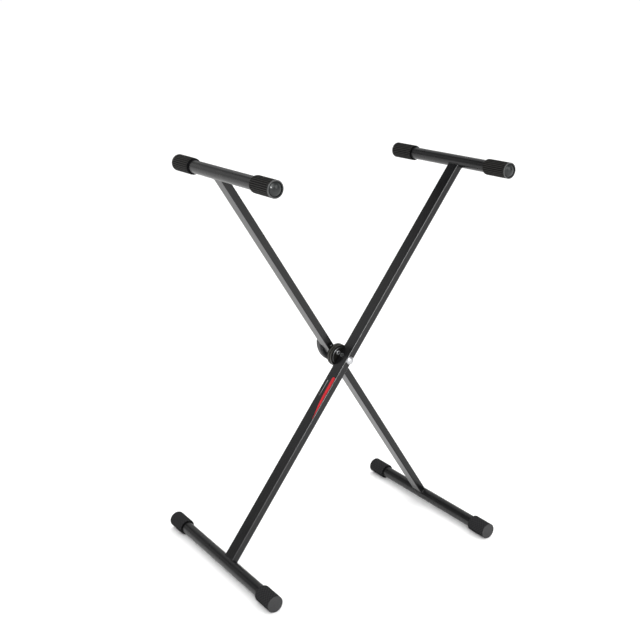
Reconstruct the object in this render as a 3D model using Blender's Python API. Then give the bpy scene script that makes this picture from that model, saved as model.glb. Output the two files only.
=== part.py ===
# Folding X-style keyboard stand: two crossed box-tube legs clamped by a friction clutch,
# a round base bar and a round support arm welded to each leg, rubber foot caps and grip sleeves.
# Units are metres, +Z is up, +Y runs from the player's side to the back,
# and the origin is on the floor under the crossing of the legs.

from math import asin, atan2, cos, degrees, dist, pi, radians, sin

import bmesh
import bpy
from mathutils import Matrix

MM = 0.001

# Clearance kept between pieces that touch
GAP = 0.3 * MM

# Stance: tilt of each leg from the vertical, and distances along the leg
LEG_TILT = radians(35.0)
PIVOT_TO_BAR = 480.0 * MM
PIVOT_TO_ARM = 480.0 * MM

# Legs: rounded box tube, the narrow side facing the player
LEG_WIDTH = 15.0 * MM
LEG_DEPTH = 30.0 * MM
LEG_WALL = 1.5 * MM
LEG_CORNER = 2.0 * MM
LEG_CORNER_POINTS = 4

# Base bars and their rubber foot caps
BAR_RADIUS = 12.7 * MM
BAR_WALL = 1.5 * MM
FOOT_SPAN = 405.0 * MM
CAP_WALL = 4.0 * MM
CAP_LENGTH = 48.0 * MM
CAP_END_WALL = 5.0 * MM
CAP_END_ROUND = 1.2 * MM
CAP_MOUTH_ROUND = 3.5 * MM

# Support arms and their ribbed grip sleeves
ARM_RADIUS = 12.7 * MM
ARM_WALL = 1.5 * MM
ARM_SPAN = 356.0 * MM
SLEEVE_WALL = 3.4 * MM
SLEEVE_LENGTH = 62.0 * MM
SLEEVE_RIBS = 16
SLEEVE_RIB_HEIGHT = 0.9 * MM
SLEEVE_COLLAR = 3.0 * MM
SLEEVE_COLLAR_EDGE = 1.0 * MM
SLEEVE_MOUTH_STEP = 1.2 * MM
SLEEVE_MOUTH_DEPTH = 2.5 * MM

# Domed plugs in the ends of the arms
PLUG_INSET = 0.5 * MM
PLUG_DOME = 4.0 * MM
PLUG_PROUD = 3.0 * MM
PLUG_FLANGE = 1.5 * MM
PLUG_STEM = 16.0 * MM
PLUG_STEM_WALL = 1.6 * MM
PLUG_BARBS = 2
PLUG_BARB_HEIGHT = 0.5 * MM
PLUG_BARB_LENGTH = 3.2 * MM

# Pivot bolt: domed head, square neck and plain shank
BOLT_RADIUS = 4.0 * MM
BOLT_HEAD_RADIUS = 8.9 * MM
BOLT_HEAD_HEIGHT = 7.0 * MM
BOLT_TIP_BEVEL = 0.8 * MM
BOLT_NECK_MARGIN = 0.2 * MM
BOLT_NECK_LENGTH = 3.0 * MM

# Clutch between the legs: a plate riveted to each leg, a toothed disc screwed to each plate,
# and a friction ring between the teeth
PLATE_THICKNESS = 2.5 * MM
EAR_INSET = 3.0 * MM
RIVET_RADIUS = 1.6 * MM
RIVET_HEAD_RADIUS = 2.3 * MM
RIVET_HEAD_HEIGHT = 1.6 * MM
RIVET_TAIL = 1.2 * MM
RIVET_TAIL_SPREAD = 0.4 * MM
DISC_RADIUS = 24.0 * MM
DISC_THICKNESS = 5.0 * MM
DISC_EDGE = 0.8 * MM
DISC_TEETH = 20
TOOTH_DEPTH = 0.8 * MM
TOOTH_LENGTH = 9.5 * MM
POCKET_DEPTH = 3.5 * MM
RING_THICKNESS = 1.2 * MM
RING_INSET = 1.0 * MM
RING_OVERHANG = 0.6 * MM
SCREW_RISE = 3.4 * MM
SCREW_CLEARANCE = 0.45 * MM
SCREW_RADIUS = 1.8 * MM
SCREW_BITE = 2.6 * MM
SCREW_HEAD_RADIUS = 4.6 * MM
SCREW_HEAD_HEIGHT = 3.0 * MM
SCREW_HEAD_BEVEL = 1.2 * MM
SCREW_SOCKET_RADIUS = 2.1 * MM
SCREW_SOCKET_DEPTH = 1.7 * MM

# Release spring in the pockets of the discs
SPRING_RADIUS = 7.0 * MM
SPRING_WIRE_RADIUS = 0.8 * MM
SPRING_TURNS = 3
SPRING_POINTS_PER_TURN = 10
SPRING_CLEARANCE = 1.2 * MM

# Bush in the rear leg, thrust washer, and oval lock knob with its threaded insert
BUSH_WALL = 1.9 * MM
WASHER_RADIUS = 11.0 * MM
WASHER_THICKNESS = 2.0 * MM
KNOB_LENGTH = 62.0 * MM
KNOB_WIDTH = 29.0 * MM
KNOB_SIDE_RADIUS = 50.0 * MM
KNOB_THICKNESS = 13.6 * MM
KNOB_EDGE = 2.0 * MM
KNOB_CROWN = 2.2 * MM
KNOB_CROWN_SCALE = 0.5
KNOB_BACK_WALL = 3.0 * MM
INSERT_WALL = 2.3 * MM
INSERT_LENGTH = 10.0 * MM
BOLT_END_CLEARANCE = 1.0 * MM

# Number of sides of the round pieces, and of steps and points along their arcs
ROUND_SIDES = 32
RING_SIDES = 24
PLUG_SIDES = 16
SMALL_SIDES = 14
SOCKET_SIDES = 6
DOME_STEPS = 4
RIVET_STEPS = 2
EDGE_POINTS = 3
KNOB_POINTS = 9
PLATE_POINTS = 13
EAR_POINTS = 7
CUTTER_OVERRUN = 2.0 * MM
MERGE_DISTANCE = 0.001 * MM
SHARP_ANGLE = radians(35.0)

# Places that follow from the sizes above
CAP_RADIUS = BAR_RADIUS + GAP + CAP_WALL
SLEEVE_RADIUS = ARM_RADIUS + GAP + SLEEVE_WALL
PLUG_RADIUS = ARM_RADIUS - PLUG_INSET
PLUG_SEAT = PLUG_DOME + PLUG_FLANGE
BORE_RADIUS = BOLT_RADIUS + GAP
BUSH_RADIUS = BORE_RADIUS + BUSH_WALL
INSERT_RADIUS = BORE_RADIUS + INSERT_WALL
BOLT_NECK_SIDE = 2 * (BOLT_RADIUS + BOLT_NECK_MARGIN)
RING_OUTER = DISC_RADIUS - RING_INSET
TOOTH_RING_OUTER = RING_OUTER - RING_OVERHANG
TOOTH_RING_INNER = TOOTH_RING_OUTER - TOOTH_LENGTH
RING_INNER = TOOTH_RING_INNER - RING_OVERHANG
POCKET_RADIUS = SPRING_RADIUS + SPRING_WIRE_RADIUS + SPRING_CLEARANCE
RIVET_DISTANCE = DISC_RADIUS + GAP + RIVET_HEAD_RADIUS
SCREW_OFFSET = LEG_WIDTH / 2 + SCREW_CLEARANCE + SCREW_HEAD_RADIUS
DISC_TEETH_Y = RING_THICKNESS / 2 + GAP
DISC_BACK_Y = DISC_TEETH_Y + DISC_THICKNESS
PLATE_INNER_Y = DISC_BACK_Y + GAP
PLATE_OUTER_Y = PLATE_INNER_Y + PLATE_THICKNESS
LEG_INNER_Y = PLATE_OUTER_Y + GAP
LEG_Y = LEG_INNER_Y + LEG_DEPTH / 2
LEG_OUTER_Y = LEG_INNER_Y + LEG_DEPTH
WASHER_Y = LEG_OUTER_Y + GAP
KNOB_Y = WASHER_Y + WASHER_THICKNESS + GAP
BOLT_END_Y = KNOB_Y + KNOB_THICKNESS - KNOB_BACK_WALL - BOLT_END_CLEARANCE
BAR_HEIGHT = CAP_RADIUS * cos(pi / ROUND_SIDES)
PIVOT_HEIGHT = BAR_HEIGHT + PIVOT_TO_BAR * cos(LEG_TILT)


def clear_scene():
    """Remove every object that the scene holds."""
    for obj in list(bpy.data.objects):
        bpy.data.objects.remove(obj, do_unlink=True)


def linear(channel):
    """One sRGB channel, 0 to 1, as linear light."""
    if channel <= 0.04045:
        return channel / 12.92
    return ((channel + 0.055) / 1.055) ** 2.4


def material(name, hex_colour, roughness, metallic=0.0):
    """A plain Principled material from an sRGB hex colour."""
    mat = bpy.data.materials.new(name)
    mat.use_nodes = True
    shader = mat.node_tree.nodes["Principled BSDF"]
    rgb = [linear(int(hex_colour[i:i + 2], 16) / 255) for i in (1, 3, 5)]
    shader.inputs["Base Color"].default_value = (*rgb, 1.0)
    shader.inputs["Roughness"].default_value = roughness
    shader.inputs["Metallic"].default_value = metallic
    mat.diffuse_color = (*rgb, 1.0)
    return mat


def empty(name, location, turn_y):
    """A guide that carries the pieces of one leg, its origin on the pivot axis."""
    guide = bpy.data.objects.new(name, None)
    guide.location = location
    guide.rotation_euler = (0.0, turn_y, 0.0)
    bpy.context.scene.collection.objects.link(guide)
    return guide


def add_object(name, mesh, mat, parent, location=(0, 0, 0), rotation=(0, 0, 0)):
    """Link a mesh to the scene as one named piece under its parent guide."""
    obj = bpy.data.objects.new(name, mesh)
    obj.parent = parent
    obj.location = location
    obj.rotation_euler = rotation
    if mat is not None:
        mesh.materials.append(mat)
    bpy.context.scene.collection.objects.link(obj)
    return obj


def finish_mesh(name, bm, smooth=True):
    """Turn a bmesh into a mesh with outward faces, smooth except at real edges."""
    bmesh.ops.remove_doubles(bm, verts=bm.verts, dist=MERGE_DISTANCE)
    bmesh.ops.recalc_face_normals(bm, faces=bm.faces)
    mesh = bpy.data.meshes.new(name)
    bm.to_mesh(mesh)
    bm.free()
    if smooth:
        mesh.shade_smooth()
        mesh.set_sharp_from_angle(angle=SHARP_ANGLE)
    return mesh


def turned_mesh(name, profile, sides=ROUND_SIDES, closed=False):
    """Spin a profile of (radius, y) points round the Y axis; a closed one is a ring section."""
    bm = bmesh.new()
    verts = [bm.verts.new((radius, y, 0.0)) for radius, y in profile]
    edges = [bm.edges.new(pair) for pair in zip(verts, verts[1:])]
    if closed:
        edges.append(bm.edges.new((verts[-1], verts[0])))
    bmesh.ops.spin(bm, geom=verts + edges, cent=(0, 0, 0), axis=(0, 1, 0), angle=2 * pi,
                   steps=sides, use_merge=True)
    return finish_mesh(name, bm)


def tube_profile(inner, outer, y0, y1):
    """Closed section of a plain tube or washer."""
    return [(inner, y0), (outer, y0), (outer, y1), (inner, y1)]


def arc(cx, cy, radius, start, end, points):
    """Points on an arc in the profile plane, both ends included; angles in degrees."""
    step = (end - start) / (points - 1)
    angles = [radians(start + step * i) for i in range(points)]
    return [(cx + radius * cos(a), cy + radius * sin(a)) for a in angles]


def loft_mesh(name, rings):
    """Skin a list of rings of equal count; a ring of one point closes that end."""
    bm = bmesh.new()
    loops = [[bm.verts.new(point) for point in ring] for ring in rings]
    for a, b in zip(loops, loops[1:]):
        skin_between(bm, a, b)
    if len(loops[0]) > 1:
        skin_between(bm, loops[-1], loops[0])
    return finish_mesh(name, bm)


def skin_between(bm, a, b):
    """Faces between two rings, or between a ring and a single point."""
    count = max(len(a), len(b))
    for i in range(count):
        j = (i + 1) % count
        corners = [a[i % len(a)], a[j % len(a)], b[j % len(b)], b[i % len(b)]]
        bm.faces.new(list(dict.fromkeys(corners)))


def circle_ring(radius, y, count):
    """Ring of points round the Y axis."""
    angles = [2 * pi * i / count for i in range(count)]
    return [(radius * cos(a), y, radius * sin(a)) for a in angles]


def extruded_mesh(name, outline, y0, y1):
    """Plate: a flat (x, z) outline drawn at y0 and extruded to y1."""
    bm = bmesh.new()
    face = bm.faces.new([bm.verts.new((x, y0, z)) for x, z in outline])
    swept = bmesh.ops.extrude_face_region(bm, geom=[face])
    moved = [item for item in swept["geom"] if isinstance(item, bmesh.types.BMVert)]
    bmesh.ops.translate(bm, verts=moved, vec=(0, y1 - y0, 0))
    return finish_mesh(name, bm)


def cylinder_cutter(name, parent, radius, y0, y1, x=0.0, z=0.0, sides=ROUND_SIDES):
    """Round cutter along Y, hidden from the finished part."""
    mesh = turned_mesh(name, [(0, y0), (radius, y0), (radius, y1), (0, y1)], sides)
    return hide_cutter(add_object(name, mesh, None, parent, (x, 0, z)))


def square_block(name, parent, size, centre):
    """Square block used to cut or to extend a piece, hidden from the finished part."""
    bm = bmesh.new()
    bmesh.ops.create_cube(bm, size=1.0, matrix=Matrix.Diagonal((*size, 1.0)))
    mesh = finish_mesh(name, bm, smooth=False)
    return hide_cutter(add_object(name, mesh, None, parent, centre))


def hide_cutter(obj):
    """Mark an object as a cutting guide that is not part of the stand."""
    obj.hide_render = True
    obj.display_type = "WIRE"
    return obj


def cut(obj, *cutters):
    """Subtract cutters from a piece with live Boolean modifiers."""
    for cutter in cutters:
        boolean = obj.modifiers.new("cut_" + cutter.name, "BOOLEAN")
        boolean.operation = "DIFFERENCE"
        boolean.solver = "EXACT"
        boolean.object = cutter


def join(obj, other):
    """Fuse a second shape to a piece with a live Boolean union."""
    boolean = obj.modifiers.new("join_" + other.name, "BOOLEAN")
    boolean.operation = "UNION"
    boolean.solver = "EXACT"
    boolean.object = other


def rounded_rectangle(width, depth, corner, points):
    """Outline of the box tube's section, as (x, y) points."""
    outline = []
    centres = ((1, 1, 0), (-1, 1, 90), (-1, -1, 180), (1, -1, 270))
    for side_x, side_y, start in centres:
        cx = side_x * (width / 2 - corner)
        cy = side_y * (depth / 2 - corner)
        outline += arc(cx, cy, corner, start, start + 90, points)
    return outline


def box_tube_mesh(name, length_down, length_up):
    """Hollow rounded box tube along Z, open at both ends."""
    outer = rounded_rectangle(LEG_WIDTH, LEG_DEPTH, LEG_CORNER, LEG_CORNER_POINTS)
    inner = rounded_rectangle(LEG_WIDTH - 2 * LEG_WALL, LEG_DEPTH - 2 * LEG_WALL,
                              LEG_CORNER - LEG_WALL, LEG_CORNER_POINTS)
    rings = [[(x, y, -length_down) for x, y in outer], [(x, y, length_up) for x, y in outer],
             [(x, y, length_up) for x, y in inner], [(x, y, -length_down) for x, y in inner]]
    return loft_mesh(name, rings)


def leg(name, mat, guide, side):
    """Box-tube leg with saddle ends that fit the round tubes, and its pivot and rivet holes."""
    mesh = box_tube_mesh(name, PIVOT_TO_BAR, PIVOT_TO_ARM)
    obj = add_object(name, mesh, mat, guide, (0, side * LEG_Y, 0))
    near, far = sorted((side * (LEG_INNER_Y - CUTTER_OVERRUN), side * (LEG_OUTER_Y + CUTTER_OVERRUN)))
    saddles = (("bar", BAR_RADIUS, -PIVOT_TO_BAR), ("arm", ARM_RADIUS, PIVOT_TO_ARM))
    for word, radius, z in saddles:
        cut(obj, cylinder_cutter(f"{name}_{word}_saddle", guide, radius + GAP, near, far, z=z))
    for word, z in (("upper", RIVET_DISTANCE), ("lower", -RIVET_DISTANCE)):
        hole_far = side * (LEG_INNER_Y + LEG_WALL + CUTTER_OVERRUN)
        y0, y1 = sorted((side * (LEG_INNER_Y - CUTTER_OVERRUN), hole_far))
        cut(obj, cylinder_cutter(f"{name}_{word}_rivet_hole", guide, RIVET_RADIUS + GAP, y0, y1,
                                 z=z, sides=SMALL_SIDES))
    return obj


def front_leg_holes(obj, guide):
    """Round hole towards the clutch and square hole for the bolt's neck in the front leg."""
    middle = -LEG_Y
    cut(obj, cylinder_cutter("front_leg_bolt_hole", guide, BORE_RADIUS, middle,
                             -LEG_INNER_Y + CUTTER_OVERRUN))
    depth = LEG_WALL + 2 * CUTTER_OVERRUN
    side = BOLT_NECK_SIDE + 2 * GAP
    centre = (0, -LEG_OUTER_Y + LEG_WALL / 2, 0)
    cut(obj, square_block("front_leg_neck_hole", guide, (side, depth, side), centre))


def rear_leg_hole(obj, guide):
    """Through hole for the bush in the rear leg."""
    cut(obj, cylinder_cutter("rear_leg_bush_hole", guide, BUSH_RADIUS + GAP,
                             LEG_INNER_Y - CUTTER_OVERRUN, LEG_OUTER_Y + CUTTER_OVERRUN))


def round_tube(name, mat, guide, radius, wall, length, z):
    """Round tube along Y, open at both ends, welded across the end of a leg."""
    mesh = turned_mesh(name, tube_profile(radius - wall, radius, -length / 2, length / 2), closed=True)
    return add_object(name, mesh, mat, guide, (0, 0, z))


def end_place(side, reach, height, turn_y):
    """Place at one end of a tube along Y, turned so that the piece's own -y end faces out."""
    facing = Matrix.Rotation(0.0 if side < 0 else pi, 4, "Z")
    return Matrix.Translation((0, side * reach, height)) @ Matrix.Rotation(turn_y, 4, "Y") @ facing


def foot_cap_mesh():
    """Cup of rubber that slips over the end of a base bar; its closed end is at y = 0."""
    bore = BAR_RADIUS + GAP
    end = CAP_END_ROUND
    mouth = CAP_MOUTH_ROUND
    profile = [(0, 0)]
    profile += arc(CAP_RADIUS - end, end, end, -90, 0, EDGE_POINTS)
    profile += arc(CAP_RADIUS - mouth, CAP_LENGTH - mouth, mouth, 0, 90, EDGE_POINTS)
    profile += [(bore, CAP_LENGTH), (bore, CAP_END_WALL), (0, CAP_END_WALL)]
    return turned_mesh("foot_cap", profile)


def foot_cap(name, mat, guide, side, tilt):
    """Foot cap on one end of a base bar, turned so that one of its sides lies flat on the floor."""
    obj = add_object(name, foot_cap_mesh(), mat, guide)
    half_facet = pi / ROUND_SIDES
    obj.matrix_local = end_place(side, FOOT_SPAN / 2, -PIVOT_TO_BAR, half_facet - tilt)


def sleeve_ring(radius, y, rib_height=0.0):
    """Ring of the sleeve, stepped between rib and valley; the middle of one rib is straight up."""
    shape = (0.0, 1.0, 1.0, 0.0)
    count = SLEEVE_RIBS * len(shape)
    ring = []
    for i in range(count):
        reach = radius + rib_height * shape[i % len(shape)]
        angle = pi / 2 + 2 * pi * (i - 1.5) / count
        ring.append((reach * cos(angle), y, reach * sin(angle)))
    return ring


def sleeve_mesh():
    """Ribbed grip sleeve; its open mouth, where the plug shows, is at y = 0."""
    valley = SLEEVE_RADIUS - SLEEVE_RIB_HEIGHT
    bore = ARM_RADIUS + GAP
    mouth = bore + SLEEVE_MOUTH_STEP
    edge = SLEEVE_COLLAR_EDGE
    rings = [sleeve_ring(mouth, 0),
             sleeve_ring(SLEEVE_RADIUS - edge / 2, 0),
             sleeve_ring(SLEEVE_RADIUS, edge),
             sleeve_ring(SLEEVE_RADIUS, SLEEVE_COLLAR - edge / 2),
             sleeve_ring(valley, SLEEVE_COLLAR, SLEEVE_RIB_HEIGHT),
             sleeve_ring(valley, SLEEVE_LENGTH, SLEEVE_RIB_HEIGHT),
             sleeve_ring(bore, SLEEVE_LENGTH),
             sleeve_ring(bore, SLEEVE_MOUTH_DEPTH),
             sleeve_ring(mouth, SLEEVE_MOUTH_DEPTH)]
    return loft_mesh("grip_sleeve", rings)


def dome_profile(radius, height, steps=DOME_STEPS):
    """Half section of a shallow dome, from its top at y = 0 to its rim at y = height."""
    sphere = (radius ** 2 + height ** 2) / (2 * height)
    spread = atan2(radius, sphere - height)
    angles = [spread * i / steps for i in range(steps + 1)]
    return [(sphere * sin(angle), sphere * (1 - cos(angle))) for angle in angles]


def plug_mesh():
    """Domed plug with a barbed hollow stem; the dome's top is at y = 0, the stem runs to +y."""
    bore = ARM_RADIUS - ARM_WALL
    stem = bore - GAP - PLUG_BARB_HEIGHT
    seat = PLUG_SEAT
    profile = dome_profile(PLUG_RADIUS, PLUG_DOME)
    profile += [(PLUG_RADIUS, seat), (stem, seat)]
    pitch = PLUG_STEM / (PLUG_BARBS + 1)
    for i in range(PLUG_BARBS):
        y = seat + pitch * (i + 1) - PLUG_BARB_LENGTH / 2
        profile += [(stem, y), (stem + PLUG_BARB_HEIGHT, y), (stem, y + PLUG_BARB_LENGTH)]
    end = seat + PLUG_STEM
    profile += [(stem, end), (stem - PLUG_STEM_WALL, end), (stem - PLUG_STEM_WALL, seat), (0, seat)]
    return turned_mesh("arm_plug", profile, PLUG_SIDES)


def arm_end(prefix, mats, guide, side, tilt):
    """Sleeve on one end of a support arm, and a plug whose dome stands out of the sleeve's mouth."""
    sleeve = add_object(prefix + "_grip_sleeve", sleeve_mesh(), mats["sleeve"], guide)
    sleeve.matrix_local = end_place(side, ARM_SPAN / 2, PIVOT_TO_ARM, -tilt)
    plug = add_object(prefix + "_end_plug", plug_mesh(), mats["plug"], guide)
    plug.matrix_local = end_place(side, ARM_SPAN / 2 + PLUG_PROUD, PIVOT_TO_ARM, -tilt)


def welded_frame(name, bar_word, arm_word, mats, guide, side, tilt):
    """One leg with its base bar, support arm, foot caps, sleeves and plugs."""
    obj = leg(name, mats["leg"], guide, side)
    bar_length = FOOT_SPAN - 2 * (CAP_END_WALL + GAP)
    arm_length = ARM_SPAN + 2 * (PLUG_PROUD - PLUG_SEAT - GAP)
    round_tube(bar_word + "_base_bar", mats["bar"], guide, BAR_RADIUS, BAR_WALL, bar_length,
               -PIVOT_TO_BAR)
    round_tube(arm_word + "_support_arm", mats["bar"], guide, ARM_RADIUS, ARM_WALL, arm_length,
               PIVOT_TO_ARM)
    for end_word, end_side in (("front", -1), ("rear", 1)):
        foot_cap(f"{bar_word}_{end_word}_foot_cap", mats["cap"], guide, end_side, tilt)
        arm_end(f"{arm_word}_{end_word}", mats, guide, end_side, tilt)
    return obj


def plate_outline():
    """Round plate with a rounded ear up and down the leg, as (x, z) points."""
    half = LEG_WIDTH / 2 - EAR_INSET
    corner = degrees(asin(half / DISC_RADIUS))
    outline = arc(0, 0, DISC_RADIUS, -90 + corner, 90 - corner, PLATE_POINTS)
    outline += arc(0, RIVET_DISTANCE, half, 0, 180, EAR_POINTS)
    outline += arc(0, 0, DISC_RADIUS, 90 + corner, 270 - corner, PLATE_POINTS)
    outline += arc(0, -RIVET_DISTANCE, half, 180, 360, EAR_POINTS)
    return outline


def screw_places(side):
    """Centres of the two disc screws, one each side of the leg, as (x, z)."""
    return ((side * SCREW_OFFSET, SCREW_RISE), (-side * SCREW_OFFSET, -SCREW_RISE))


def clutch_plate(name, mat, guide, side):
    """Steel plate riveted to the leg, which carries the toothed disc."""
    y0, y1 = sorted((side * PLATE_INNER_Y, side * PLATE_OUTER_Y))
    obj = add_object(name, extruded_mesh(name, plate_outline(), y0, y1), mat, guide)
    low = y0 - CUTTER_OVERRUN
    high = y1 + CUTTER_OVERRUN
    cut(obj, cylinder_cutter(name + "_bore", guide, BORE_RADIUS, low, high))
    for word, z in (("upper", RIVET_DISTANCE), ("lower", -RIVET_DISTANCE)):
        cut(obj, cylinder_cutter(f"{name}_{word}_hole", guide, RIVET_RADIUS + GAP, low, high,
                                 z=z, sides=SMALL_SIDES))
    for i, (x, z) in enumerate(screw_places(side)):
        cut(obj, cylinder_cutter(f"{name}_screw_hole_{i + 1}", guide, SCREW_RADIUS + GAP, low, high,
                                 x=x, z=z, sides=SMALL_SIDES))
    return obj


def tooth_ring(radius, y, side, count):
    """Ring of points that zigzags between the tips and the roots of the radial teeth."""
    ring = []
    for i in range(count):
        depth = TOOTH_DEPTH if i % 2 else 0.0
        angle = 2 * pi * i / count
        ring.append((radius * cos(angle), side * (y + depth), radius * sin(angle)))
    return ring


def clutch_disc_mesh(name, side):
    """Toothed disc with a spring pocket; its teeth face the friction ring."""
    count = 2 * DISC_TEETH
    face = DISC_TEETH_Y
    back = DISC_BACK_Y
    root = face + TOOTH_DEPTH
    floor = face + POCKET_DEPTH
    flats = ((BORE_RADIUS, back), (DISC_RADIUS - DISC_EDGE, back), (DISC_RADIUS, back - DISC_EDGE),
             (DISC_RADIUS, root + DISC_EDGE), (DISC_RADIUS - DISC_EDGE, root))
    rings = [circle_ring(radius, side * y, count) for radius, y in flats]
    rings.append(tooth_ring(TOOTH_RING_OUTER, face, side, count))
    rings.append(tooth_ring(TOOTH_RING_INNER, face, side, count))
    rings.append(circle_ring(POCKET_RADIUS, side * root, count))
    rings.append(circle_ring(POCKET_RADIUS, side * floor, count))
    rings.append(circle_ring(BORE_RADIUS, side * floor, count))
    return loft_mesh(name, rings)


def clutch_disc(name, mat, guide, side):
    """Toothed disc with the two blind holes that its screws bite in."""
    obj = add_object(name, clutch_disc_mesh(name, side), mat, guide)
    depth = DISC_BACK_Y - SCREW_BITE - GAP
    y0, y1 = sorted((side * depth, side * (DISC_BACK_Y + CUTTER_OVERRUN)))
    for i, (x, z) in enumerate(screw_places(side)):
        cut(obj, cylinder_cutter(f"{name}_screw_hole_{i + 1}", guide, SCREW_RADIUS + GAP, y0, y1,
                                 x=x, z=z, sides=SMALL_SIDES))
    return obj


def rivet_mesh():
    """Domed rivet with its head towards -y and its upset tail inside the leg's wall."""
    shank_end = PLATE_THICKNESS + LEG_WALL + 3 * GAP
    tail = shank_end + RIVET_TAIL
    flare = RIVET_RADIUS + GAP + RIVET_TAIL_SPREAD
    top = -GAP - RIVET_HEAD_HEIGHT
    dome = dome_profile(RIVET_HEAD_RADIUS, RIVET_HEAD_HEIGHT, RIVET_STEPS)
    profile = [(radius, top + y) for radius, y in dome]
    profile += [(RIVET_RADIUS, -GAP), (RIVET_RADIUS, shank_end), (flare, shank_end)]
    profile += [(RIVET_RADIUS, tail), (0, tail)]
    return turned_mesh("rivet", profile, SMALL_SIDES)


def screw_mesh():
    """Pan-head screw with its head towards -y and its shank in the disc."""
    reach = GAP + PLATE_THICKNESS + GAP + SCREW_BITE
    bevel = SCREW_HEAD_BEVEL
    profile = [(0, -SCREW_HEAD_HEIGHT), (SCREW_HEAD_RADIUS - bevel, -SCREW_HEAD_HEIGHT)]
    profile += [(SCREW_HEAD_RADIUS, bevel - SCREW_HEAD_HEIGHT), (SCREW_HEAD_RADIUS, 0)]
    profile += [(SCREW_RADIUS, 0), (SCREW_RADIUS, reach), (0, reach)]
    return turned_mesh("disc_screw", profile, SMALL_SIDES)


def clutch_fasteners(prefix, mats, guide, side):
    """Rivets that hold the plate to the leg, and screws that hold the disc to the plate."""
    turn_z = 0.0 if side > 0 else pi
    for word, z in (("upper", RIVET_DISTANCE), ("lower", -RIVET_DISTANCE)):
        place = (0, side * PLATE_INNER_Y, z)
        add_object(f"{prefix}_{word}_rivet", rivet_mesh(), mats["rivet"], guide, place, (0, 0, turn_z))
    head_y = side * (PLATE_OUTER_Y + GAP)
    for i, (x, z) in enumerate(screw_places(side)):
        name = f"{prefix}_disc_screw_{i + 1}"
        obj = add_object(name, screw_mesh(), mats["screw"], guide, (x, head_y, z), (0, 0, turn_z + pi))
        top = side * (PLATE_OUTER_Y + GAP + SCREW_HEAD_HEIGHT)
        y0, y1 = sorted((top - side * SCREW_SOCKET_DEPTH, top + side * CUTTER_OVERRUN))
        cut(obj, cylinder_cutter(name + "_socket", guide, SCREW_SOCKET_RADIUS, y0, y1,
                                 x=x, z=z, sides=SOCKET_SIDES))


def pivot_bolt(mat, guide):
    """Domed bolt through both legs, its square neck held by the front leg."""
    seat = -LEG_OUTER_Y - GAP
    top = seat - BOLT_HEAD_HEIGHT
    profile = [(radius, top + y) for radius, y in dome_profile(BOLT_HEAD_RADIUS, BOLT_HEAD_HEIGHT)]
    profile += [(BOLT_RADIUS, seat), (BOLT_RADIUS, BOLT_END_Y - BOLT_TIP_BEVEL)]
    profile += [(BOLT_RADIUS - BOLT_TIP_BEVEL, BOLT_END_Y), (0, BOLT_END_Y)]
    obj = add_object("pivot_bolt", turned_mesh("pivot_bolt", profile, RING_SIDES), mat, guide)
    sunk = BOLT_HEAD_HEIGHT / 4
    length = sunk + BOLT_NECK_LENGTH
    place = (0, seat - sunk + length / 2, 0)
    join(obj, square_block("bolt_neck", guide, (BOLT_NECK_SIDE, length, BOLT_NECK_SIDE), place))
    return obj


def least_self_gap(points, wire_radius, per_turn):
    """Smallest clear distance between the turns of a coil, from its centre line."""
    nearest = min(dist(a, b) for i, a in enumerate(points) for b in points[i + per_turn // 2:])
    return nearest - 2 * wire_radius


def release_spring(mat, guide):
    """Short coil spring that parts the discs when the knob is loosened."""
    seat = DISC_TEETH_Y + POCKET_DEPTH - GAP - SPRING_WIRE_RADIUS
    count = SPRING_TURNS * SPRING_POINTS_PER_TURN
    points = []
    for i in range(count + 1):
        angle = 2 * pi * i / SPRING_POINTS_PER_TURN
        y = -seat + 2 * seat * i / count
        points.append((SPRING_RADIUS * cos(angle), y, SPRING_RADIUS * sin(angle)))
    gap = least_self_gap(points, SPRING_WIRE_RADIUS, SPRING_POINTS_PER_TURN)
    print(f"release_spring least gap between turns: {gap / MM:.2f} mm")
    curve = bpy.data.curves.new("release_spring", "CURVE")
    curve.dimensions = "3D"
    curve.bevel_depth = SPRING_WIRE_RADIUS
    curve.bevel_resolution = 1
    curve.use_fill_caps = True
    spline = curve.splines.new("POLY")
    spline.points.add(len(points) - 1)
    for target, point in zip(spline.points, points):
        target.co = (*point, 1.0)
    curve.materials.append(mat)
    obj = bpy.data.objects.new("release_spring", curve)
    obj.parent = guide
    bpy.context.scene.collection.objects.link(obj)
    return obj


def knob_ring(inset, y, scale=1.0):
    """Ring of the knob's oval: two long side arcs and two end arcs that run into each other."""
    side = KNOB_SIDE_RADIUS
    half_width = KNOB_WIDTH / 2
    half_length = KNOB_LENGTH / 2
    offset = side - half_width
    end = (side ** 2 - offset ** 2 - half_length ** 2) / (2 * (side - half_length))
    turn = degrees(atan2(half_length - end, offset))
    points = KNOB_POINTS
    outline = arc(-offset, 0, side - inset, -turn, turn, points)[:-1]
    outline += arc(0, half_length - end, end - inset, turn, 180 - turn, points)[:-1]
    outline += arc(offset, 0, side - inset, 180 - turn, 180 + turn, points)[:-1]
    outline += arc(0, end - half_length, end - inset, 180 + turn, 360 - turn, points)[:-1]
    return [(x * scale, y, z * scale) for x, z in outline]


def knob_edge(y, direction):
    """Rings that round one edge of the knob, from its face at y to its side."""
    angles = [pi / 2 * i / (EDGE_POINTS - 1) for i in range(EDGE_POINTS)]
    return [knob_ring(KNOB_EDGE * (1 - sin(angle)), y + direction * KNOB_EDGE * (1 - cos(angle)))
            for angle in angles]


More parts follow.
